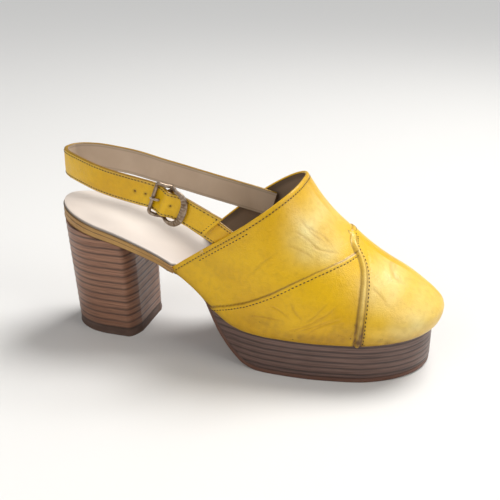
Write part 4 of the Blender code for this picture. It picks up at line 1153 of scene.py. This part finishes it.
def wall_piece(name, plan, low, high, levels, relief_at, material, closed, cover=0.0):
    """Wall over a plan [place, xy] from low to high; relief_at gives outward relief and tone."""
    share = np.linspace(0.0, 1.0, levels)[:, None]
    z_at = low[None, :] + (high - low)[None, :] * share
    step = np.gradient(plan, axis=0)
    if closed:
        step = np.roll(plan, -1, axis=0) - np.roll(plan, 1, axis=0)
    outward = np.stack([step[:, 1], -step[:, 0]], axis=-1)
    outward /= np.linalg.norm(outward, axis=1)[:, None] + 1e-12
    run = np.concatenate(([0.0], np.cumsum(np.linalg.norm(np.diff(plan, axis=0), axis=1))))
    push, tone_at = relief_at(run[None, :] * np.ones_like(z_at), z_at, share * np.ones_like(z_at))
    xy = plan[None] + outward[None] * push[..., None]
    points = np.concatenate([xy, z_at[..., None]], axis=-1)
    if cover > 0.0:
        middle_of = plan.mean(axis=0)
        caps = []
        for row in (points[:1], points[-1:]):
            cap = row.copy()
            cap[..., :2] = middle_of + (row[..., :2] - middle_of) * (1.0 - cover)
            caps.append(cap)
        points = np.concatenate([caps[0], points, caps[1]])
        tone_at = [np.concatenate([t[:1], t, t[-1:]]) for t in tone_at]
    return grid_piece(name, points, material, tone_at, closed=closed, flip=True)


def two_sides(x, lateral, medial):
    """Plan [place, xy] down the medial side, round the back and up the lateral side."""
    return np.concatenate([np.stack([x, lateral], axis=-1)[::-1], np.stack([x, medial], axis=-1)[1:]])

# Rand: ochre leather round the board's edge, from the heel seat to the waist. It is folded into
# two bands, with a dark line of painted shade in the crease between them and a painted highlight along the
# upper band.

rand_leather = plain_leather("rand_leather", (0.480, 0.270, 0.075), (0.330, 0.165, 0.045), 0.48)

def rand_relief(run, z_at, share):
    lobes = 0.55 * MM * np.sin(math.pi * np.clip(share / 0.56, 0.0, 1.0)) + 0.45 * MM * np.sin(math.pi
        * np.clip((share - 0.56) / 0.44, 0.0, 1.0))
    # painted shade in the crease between the bands; darker along the top and bottom edges
    dark = 0.85 * bell(share - 0.56, 0.045) + 0.55 * bell(share - 1.0, 0.06) + 0.45 * bell(share, 0.08)
    dark = dark + 0.22 * np.clip(waves(run, z_at * 3.0, seed=41, count=8, size=0.02), 0.0, 1.0)
    # painted highlight along the upper band's crest, in the tone layer's green
    return lobes - 0.15 * MM, (dark, 0.25 * bell(share - 0.8, 0.1), 0.0 * dark)


rand_x = (TOPLINE_END_X + 0.5 * MM) * (1.0 - np.cos(np.linspace(0.0, math.pi / 2.0, 110)))
rand_plan = two_sides(rand_x, outline(rand_x, -1), outline(rand_x, 1))
rand_low = board_under(rand_plan[:, 0]) + GAP
rand_high = board_over(rand_plan[:, 0]) + 0.3 * MM
rand = wall_piece("insole_rand", rand_plan, rand_low, rand_high, 34, rand_relief, rand_leather, False, 0.10)
stands_for(rand, "edge_leather")
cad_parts["insole_board"].data.materials[0] = rand_leather

# Heel: a block of stacked leather layers on a rubber top piece. The joints are dark and slightly
# wavy, and each layer has a shade of its own.


def stack_material(name, base, light, line, roughness):
    """Stacked layers: the tone layer gives each layer's shade and its joints; long streaks lie level."""
    material, tree = new_material(name)
    dark, pale, _ = tone_parts(tree)[:3]
    streak = noise(tree, 60.0, 6.0, 0.4, (1.0, 1.0, 22.0))
    colour = blend(tree, ramp(tree, streak, 0.30, 0.72), base, light)
    colour = blend(tree, times(tree, pale, 0.8), colour, [c * 1.10 for c in light])
    fine = ramp(tree, noise(tree, 220.0, 4.0, 0.2, (0.35, 0.35, 9.0)), 0.52, 0.72)
    colour = blend(tree, times(tree, fine, 0.45), colour, line)
    colour = blend(tree, dark, colour, line)
    height = noise(tree, 160.0, 6.0, 0.2, (0.5, 0.5, 9.0))
    rough = ramp(tree, noise(tree, 90.0, 4.0), 0.3, 0.7, roughness - 0.08, roughness + 0.10)
    return finish(material, colour, rough, height, 0.5, 0.0004, Coat_Weight=0.15, Coat_Roughness=0.35)


heel_stack = stack_material("heel_stack", (0.200, 0.080, 0.040), (0.360, 0.175, 0.100),
                            (0.030, 0.012, 0.008), 0.42)
rubber = plain_leather("top_piece_rubber", (0.110, 0.058, 0.038), (0.060, 0.034, 0.025), 0.62)

def stack_relief(pitch, base, seed, strength):
    """Relief and tone of a stack whose joints lie a pitch apart above a base height."""
    draws = np.random.default_rng(seed)
    shades = draws.uniform(-0.25, 0.55, 40)
    sway = draws.uniform(-0.10, 0.10, 40)

    def relief_at(run, z_at, share):
        wavy = z_at + 0.30 * MM * waves(run, seed=seed, count=5, size=0.05) + 0.10 * MM * waves(run,
            seed=seed + 1, count=5, size=0.008)
        place = (wavy - base) / pitch
        layer = np.clip(np.floor(place + 0.5).astype(int), 0, 39)
        gap = np.abs(place - np.round(place) - sway[layer]) * pitch
        joint = bell(gap, 0.70 * MM)
        half = np.abs(np.abs(place - np.floor(place) - 0.5) - 0.02) * pitch
        fine = 0.45 * bell(half, 0.25 * MM)
        blotch = 0.5 + 0.5 * waves(run, z_at * 4.0, seed=seed + 5, count=8, size=0.025)
        dark = strength * (joint * (0.65 + 0.35 * blotch) + fine * blotch) + 0.25 * ease(share, 0.08, 0.0)
        return 0.20 * MM - 0.16 * MM * joint - 0.05 * MM * fine, (dark,
            np.clip(shades[layer] * 0.6 + 0.2 * blotch, 0.0, 1.0), 0.0 * dark)

    return relief_at


HEEL_BREAST_X = 0.0525
HEEL_BREAST_FLARE = 0.0028
HEEL_BACK_TOP = 0.0010
HEEL_BACK_BOTTOM = 0.0062
HEEL_HALF_TOP = 0.0288
HEEL_HALF_BOTTOM = 0.0256
HEEL_CORNER = 0.0075
HEEL_BACK_SHARE = 0.86
HEEL_BACK_POWER = 2.1
HEEL_LIFT = 0.0047
TOP_PIECE = 0.0055


def heel_plan(height):
    """Outline [place, xy] of the heel at a height: round back, straight sides, flat breast."""
    up = np.clip(height / SEAT_HEIGHT, 0.0, 1.2)
    back_x = HEEL_BACK_BOTTOM + (HEEL_BACK_TOP - HEEL_BACK_BOTTOM) * up
    breast = HEEL_BREAST_X + HEEL_BREAST_FLARE * np.clip(1.0 - up, 0.0, 1.0) ** 2
    half = HEEL_HALF_BOTTOM + (HEEL_HALF_TOP - HEEL_HALF_BOTTOM) * up
    x_at = back_x + (breast - back_x) * (1.0 - np.cos(np.linspace(0.0, math.pi, 120))) / 2.0
    ends = round_end(x_at - back_x, HEEL_ROUND * HEEL_BACK_SHARE, HEEL_BACK_POWER) * round_end(breast + 0.2
        * HEEL_CORNER - x_at, HEEL_CORNER)
    plan = np.concatenate([np.stack([x_at, -half * ends], axis=-1)[::-1],
                           np.stack([x_at, half * ends], axis=-1)[1:]])
    front = np.linspace(1.0, -1.0, 40)[1:-1, None] * plan[-1:] * [[0.0, 1.0]] + plan[-1:] * [[1.0, 0.0]]
    return np.concatenate([plan, front])


def tapered_piece(name, low, high_at, levels, relief_at, material):
    """Heel wall whose outline tapers with height, up to a sloping top, closed above and below."""
    base = heel_plan(low)
    top = high_at(base[:, 0])
    shares = np.linspace(0.0, 1.0, levels)
    plans = {k: heel_plan(k) for k in (0.0, SEAT_HEIGHT)}
    z_at = low + (top - low)[None, :] * shares[:, None]
    up = z_at / SEAT_HEIGHT
    xy = plans[0.0][None] * (1.0 - up[..., None]) + plans[SEAT_HEIGHT][None] * up[..., None]
    step = np.roll(base, -1, axis=0) - np.roll(base, 1, axis=0)
    outward = np.stack([step[:, 1], -step[:, 0]], axis=-1)
    outward /= np.linalg.norm(outward, axis=1)[:, None] + 1e-12
    run = np.concatenate(([0.0], np.cumsum(np.linalg.norm(np.diff(base, axis=0), axis=1))))[None,
        :] * np.ones_like(z_at)
    push, tone_at = relief_at(run, z_at, shares[:, None] * np.ones_like(z_at))
    points = np.concatenate([xy + outward[None] * (push - 0.2 * MM)[..., None], z_at[..., None]], axis=-1)
    bottom = points[:1] * 0.0 + points[0].mean(axis=0)
    upper_cap = points[-1:] * 0.0 + points[-1].mean(axis=0)
    points = np.concatenate([bottom, points, upper_cap])
    tone_at = [np.concatenate([t[:1], t, t[-1:]]) for t in tone_at]
    return grid_piece(name, points, material, tone_at, closed=True, flip=True)


heel = tapered_piece("heel_stack_leather", TOP_PIECE + GAP, lambda x_at: board_under(x_at) - GAP, 230,
                     stack_relief(HEEL_LIFT, TOP_PIECE, 51, 0.95), heel_stack)
stands_for(heel, "stacked_leather", "heel")


def rubber_relief(run, z_at, share):
    """Worn lower edge of the top piece, dusty in patches."""
    worn = 0.45 * MM * ease(share, 0.35, 0.0) + 0.10 * MM * waves(run, seed=61, count=6, size=0.01)
    dust = 0.5 * np.clip(waves(run, z_at * 2.0, seed=62, count=8, size=0.012), 0.0, 1.0)
    return 0.2 * MM - worn, (0.5 * bell(share - 1.0, 0.12), dust, 0.0 * dust)


top_piece = tapered_piece("heel_top_rubber", 0.0, lambda x_at: np.full(x_at.shape, TOP_PIECE), 24,
                          rubber_relief, rubber)
stands_for(top_piece, "heel_rubber", "heel_top_piece")

# Outsole and platform: the sole's line falls from the shank down the rear slope and springs at the toe.

platform_stack = stack_material("platform_stack", (0.100, 0.050, 0.038), (0.200, 0.112, 0.086),
                                (0.018, 0.009, 0.007), 0.42)
sole_material = plain_leather("outsole_leather", (0.150, 0.062, 0.036), (0.085, 0.036, 0.022), 0.50)
OUTSOLE = 0.0028
SHANK_INSET = 0.0050
SOLE_INSET = 0.0010
PLATFORM_LAYER = 0.0037
PLATFORM_START = 0.432
SOLE_LINE = [
    # along, share of platform height
    (0.420, 1.345),
    (0.441, 1.030),
    (0.474, 0.590),
    (0.505, 0.290),
    (0.538, 0.075),
    (0.570, 0.000),
]


def forefoot(x_at, which):
    """y of platform and outsole: the upper's lower edge, drawn in along the shank."""
    narrow = 1.0 - ease(np.asarray(x_at) / SHOE_LENGTH, 0.40, 0.47)
    return outline(x_at, which, TUCK_SIDE + SOLE_INSET + SHANK_INSET * narrow, 0.0, SHOE_LENGTH - TUCK_TOE)


def sole_under(x_at):
    """Height of the outsole's under face."""
    at = np.asarray(x_at) / SHOE_LENGTH
    shank = board_under(x_at) - 2.0 * GAP - 1.28 * OUTSOLE
    spring = np.clip((at - 0.80) / 0.20, 0.0, 1.0) ** 1.6 * TOE_SPRING
    return np.where(at < SOLE_LINE[0][0], shank, smooth(at, SOLE_LINE, 1) * PLATFORM_HEIGHT) + spring


sole_end = SHOE_LENGTH - TUCK_TOE
sole_x = np.linspace(HEEL_BREAST_X + HEEL_BREAST_FLARE + 2.0 * GAP, sole_end, 1200)
sole_z = sole_under(sole_x)
sole_run = np.concatenate(([0.0], np.cumsum(np.hypot(np.diff(sole_x), np.diff(sole_z)))))
sole_t = np.sin(np.linspace(0.0, math.pi / 2.0, 260)) * sole_run[-1]
line_x = np.interp(sole_t, sole_run, sole_x)
line_z = np.interp(sole_t, sole_run, sole_z)
slope = np.stack([-np.gradient(line_z, sole_t), np.gradient(line_x, sole_t)], axis=-1)
slope /= np.linalg.norm(slope, axis=1)[:, None]
ring_w = np.concatenate([np.linspace(-1.0, 1.0, 30), np.ones(7), np.linspace(1.0, -1.0, 14), -np.ones(7)])
ring_v = np.concatenate([np.zeros(30), np.linspace(0.0, 1.0, 9)[1:-1], np.ones(14),
                         np.linspace(1.0, 0.0, 9)[1:-1]])
bulge = 0.35 * MM * np.sin(math.pi * ring_v) * np.sign(ring_w) * (np.abs(ring_w) > 0.999)
sole_left = forefoot(line_x, -1)
sole_right = forefoot(line_x, 1)
sole_y = (sole_left + sole_right)[:, None] / 2.0 + (sole_right - sole_left)[:, None] / 2.0 * ring_w + bulge
sole_points = np.stack([line_x[:, None] + slope[:, :1] * OUTSOLE * ring_v, sole_y,
                        line_z[:, None] + slope[:, 1:] * OUTSOLE * ring_v], axis=-1)
scuff = 0.35 * np.clip(waves(sole_points[..., 0], sole_points[..., 1], seed=71, count=9, size=0.03), 0.0, 1.0)
sole_dark = 0.5 * bell(ring_v - 1.0, 0.2)[None, :] * np.ones_like(scuff)
sole = grid_piece("outsole_strip", sole_points, sole_material, (sole_dark, scuff, 0.0 * scuff), closed=True)
stands_for(sole, "sole_leather", "outsole")

wall_start = SHOE_LENGTH * PLATFORM_START
wall_turn = np.sin(np.linspace(0.0, math.pi / 2.0, 260))[1:]
wall_x = np.concatenate([[wall_start], wall_start + (sole_end - wall_start) * wall_turn])
wall_plan = np.concatenate([np.stack([wall_x, forefoot(wall_x, -1)], axis=-1),
                            np.stack([wall_x, forefoot(wall_x, 1)], axis=-1)[-2::-1]])
sole_top = np.interp(wall_plan[:, 0], line_x + slope[:, 0] * OUTSOLE, line_z + slope[:, 1] * OUTSOLE) + GAP
wall_high = np.maximum(board_under(wall_plan[:, 0]) - GAP, sole_top + 0.05 * MM)
platform = wall_piece("platform_stack_leather", wall_plan, sole_top, wall_high, 110,
                      stack_relief(PLATFORM_LAYER, OUTSOLE / 2.0, 81, 0.95), platform_stack, True, 0.08)
stands_for(platform, "stacked_platform", "platform")

# Stage: pale floor, soft studio light and the camera at the photograph's angle.


floor_mesh = bpy.data.meshes.new("studio_floor")
floor_mesh.from_pydata([(-30, -30, 0), (30, -30, 0), (30, 30, 0), (-30, 30, 0)], [], [(0, 1, 2, 3)])
floor_material, floor_tree = new_material("pale_floor")
floor_tree.nodes["Principled BSDF"].inputs["Base Color"].default_value = (0.78, 0.77, 0.75, 1.0)
floor_tree.nodes["Principled BSDF"].inputs["Roughness"].default_value = 0.75
floor_mesh.materials.append(floor_material)
floor = bpy.data.objects.new("studio_floor", floor_mesh)
bpy.context.scene.collection.objects.link(floor)

CAMERA_AZIMUTH = math.radians(15.95)
CAMERA_ELEVATION = math.radians(23.0)
CAMERA_ROLL = math.radians(0.53)
CAMERA_TARGET = np.array([0.1236, 0.0008, 0.0595])
CAMERA_DISTANCE = 0.4888
CAMERA_LENS = 56.2
SENSOR = 36.0


def aimed_at(item, place, target, roll=0.0):
    """Puts a lamp or camera at a place, looking at a target, with a roll about its view."""
    back_axis = (place - target) / np.linalg.norm(place - target)
    right = np.cross([0.0, 0.0, 1.0], back_axis)
    right /= np.linalg.norm(right)
    upward = np.cross(back_axis, right)
    turned = right * math.cos(roll) + upward * math.sin(roll)
    raised = -right * math.sin(roll) + upward * math.cos(roll)
    axes = np.stack([turned, raised, back_axis], axis=1)
    matrix = np.eye(4)
    matrix[:3, :3] = axes
    matrix[:3, 3] = place
    item.matrix_world = Matrix(matrix.tolist())


def soft_light(name, direction, distance, size, watts, colour):
    """Square area lamp on a direction from the shoe, facing it."""
    lamp = bpy.data.lights.new(name, "AREA")
    lamp.size = size
    lamp.energy = watts
    lamp.color = colour
    item = bpy.data.objects.new(name, lamp)
    bpy.context.scene.collection.objects.link(item)
    middle_of = np.array([0.0, 0.0, 0.05])
    unit = np.array(direction) / np.linalg.norm(direction)
    aimed_at(item, middle_of + unit * distance, middle_of)


camera_data = bpy.data.cameras.new("photo_camera")
camera_data.lens = CAMERA_LENS
camera_data.sensor_width = SENSOR
camera_data.clip_start = 0.01
camera = bpy.data.objects.new("photo_camera", camera_data)
bpy.context.scene.collection.objects.link(camera)
look = np.array([math.sin(CAMERA_AZIMUTH) * math.cos(CAMERA_ELEVATION),
                 -math.cos(CAMERA_AZIMUTH) * math.cos(CAMERA_ELEVATION), math.sin(CAMERA_ELEVATION)])
aimed_at(camera, CAMERA_TARGET + HOME + look * CAMERA_DISTANCE, CAMERA_TARGET + HOME, CAMERA_ROLL)
bpy.context.scene.camera = camera

soft_light("key_softbox", (0.35, 0.55, 1.0), 1.1, 0.7, 5.5, (1.0, 0.98, 0.95))
soft_light("front_softbox", (-0.5, -1.0, 0.75), 1.3, 0.9, 5.0, (1.0, 0.97, 0.93))
soft_light("toe_softbox", (1.2, -0.3, 0.8), 1.2, 0.6, 4.0, (1.0, 0.98, 0.96))
sun = bpy.data.lights.new("wide_softbox", "SUN")
sun.energy = 2.0
sun.angle = math.radians(30.0)
sun_item = bpy.data.objects.new("wide_softbox", sun)
bpy.context.scene.collection.objects.link(sun_item)
aimed_at(sun_item, np.array([0.35, 0.55, 1.0]), np.zeros(3))
world = bpy.data.worlds.new("studio_world")
world.use_nodes = True
world.node_tree.nodes["Background"].inputs["Color"].default_value = (0.85, 0.88, 0.92, 1.0)
world.node_tree.nodes["Background"].inputs["Strength"].default_value = 0.22
bpy.context.scene.world = world
bpy.context.scene.view_settings.view_transform = "Standard"
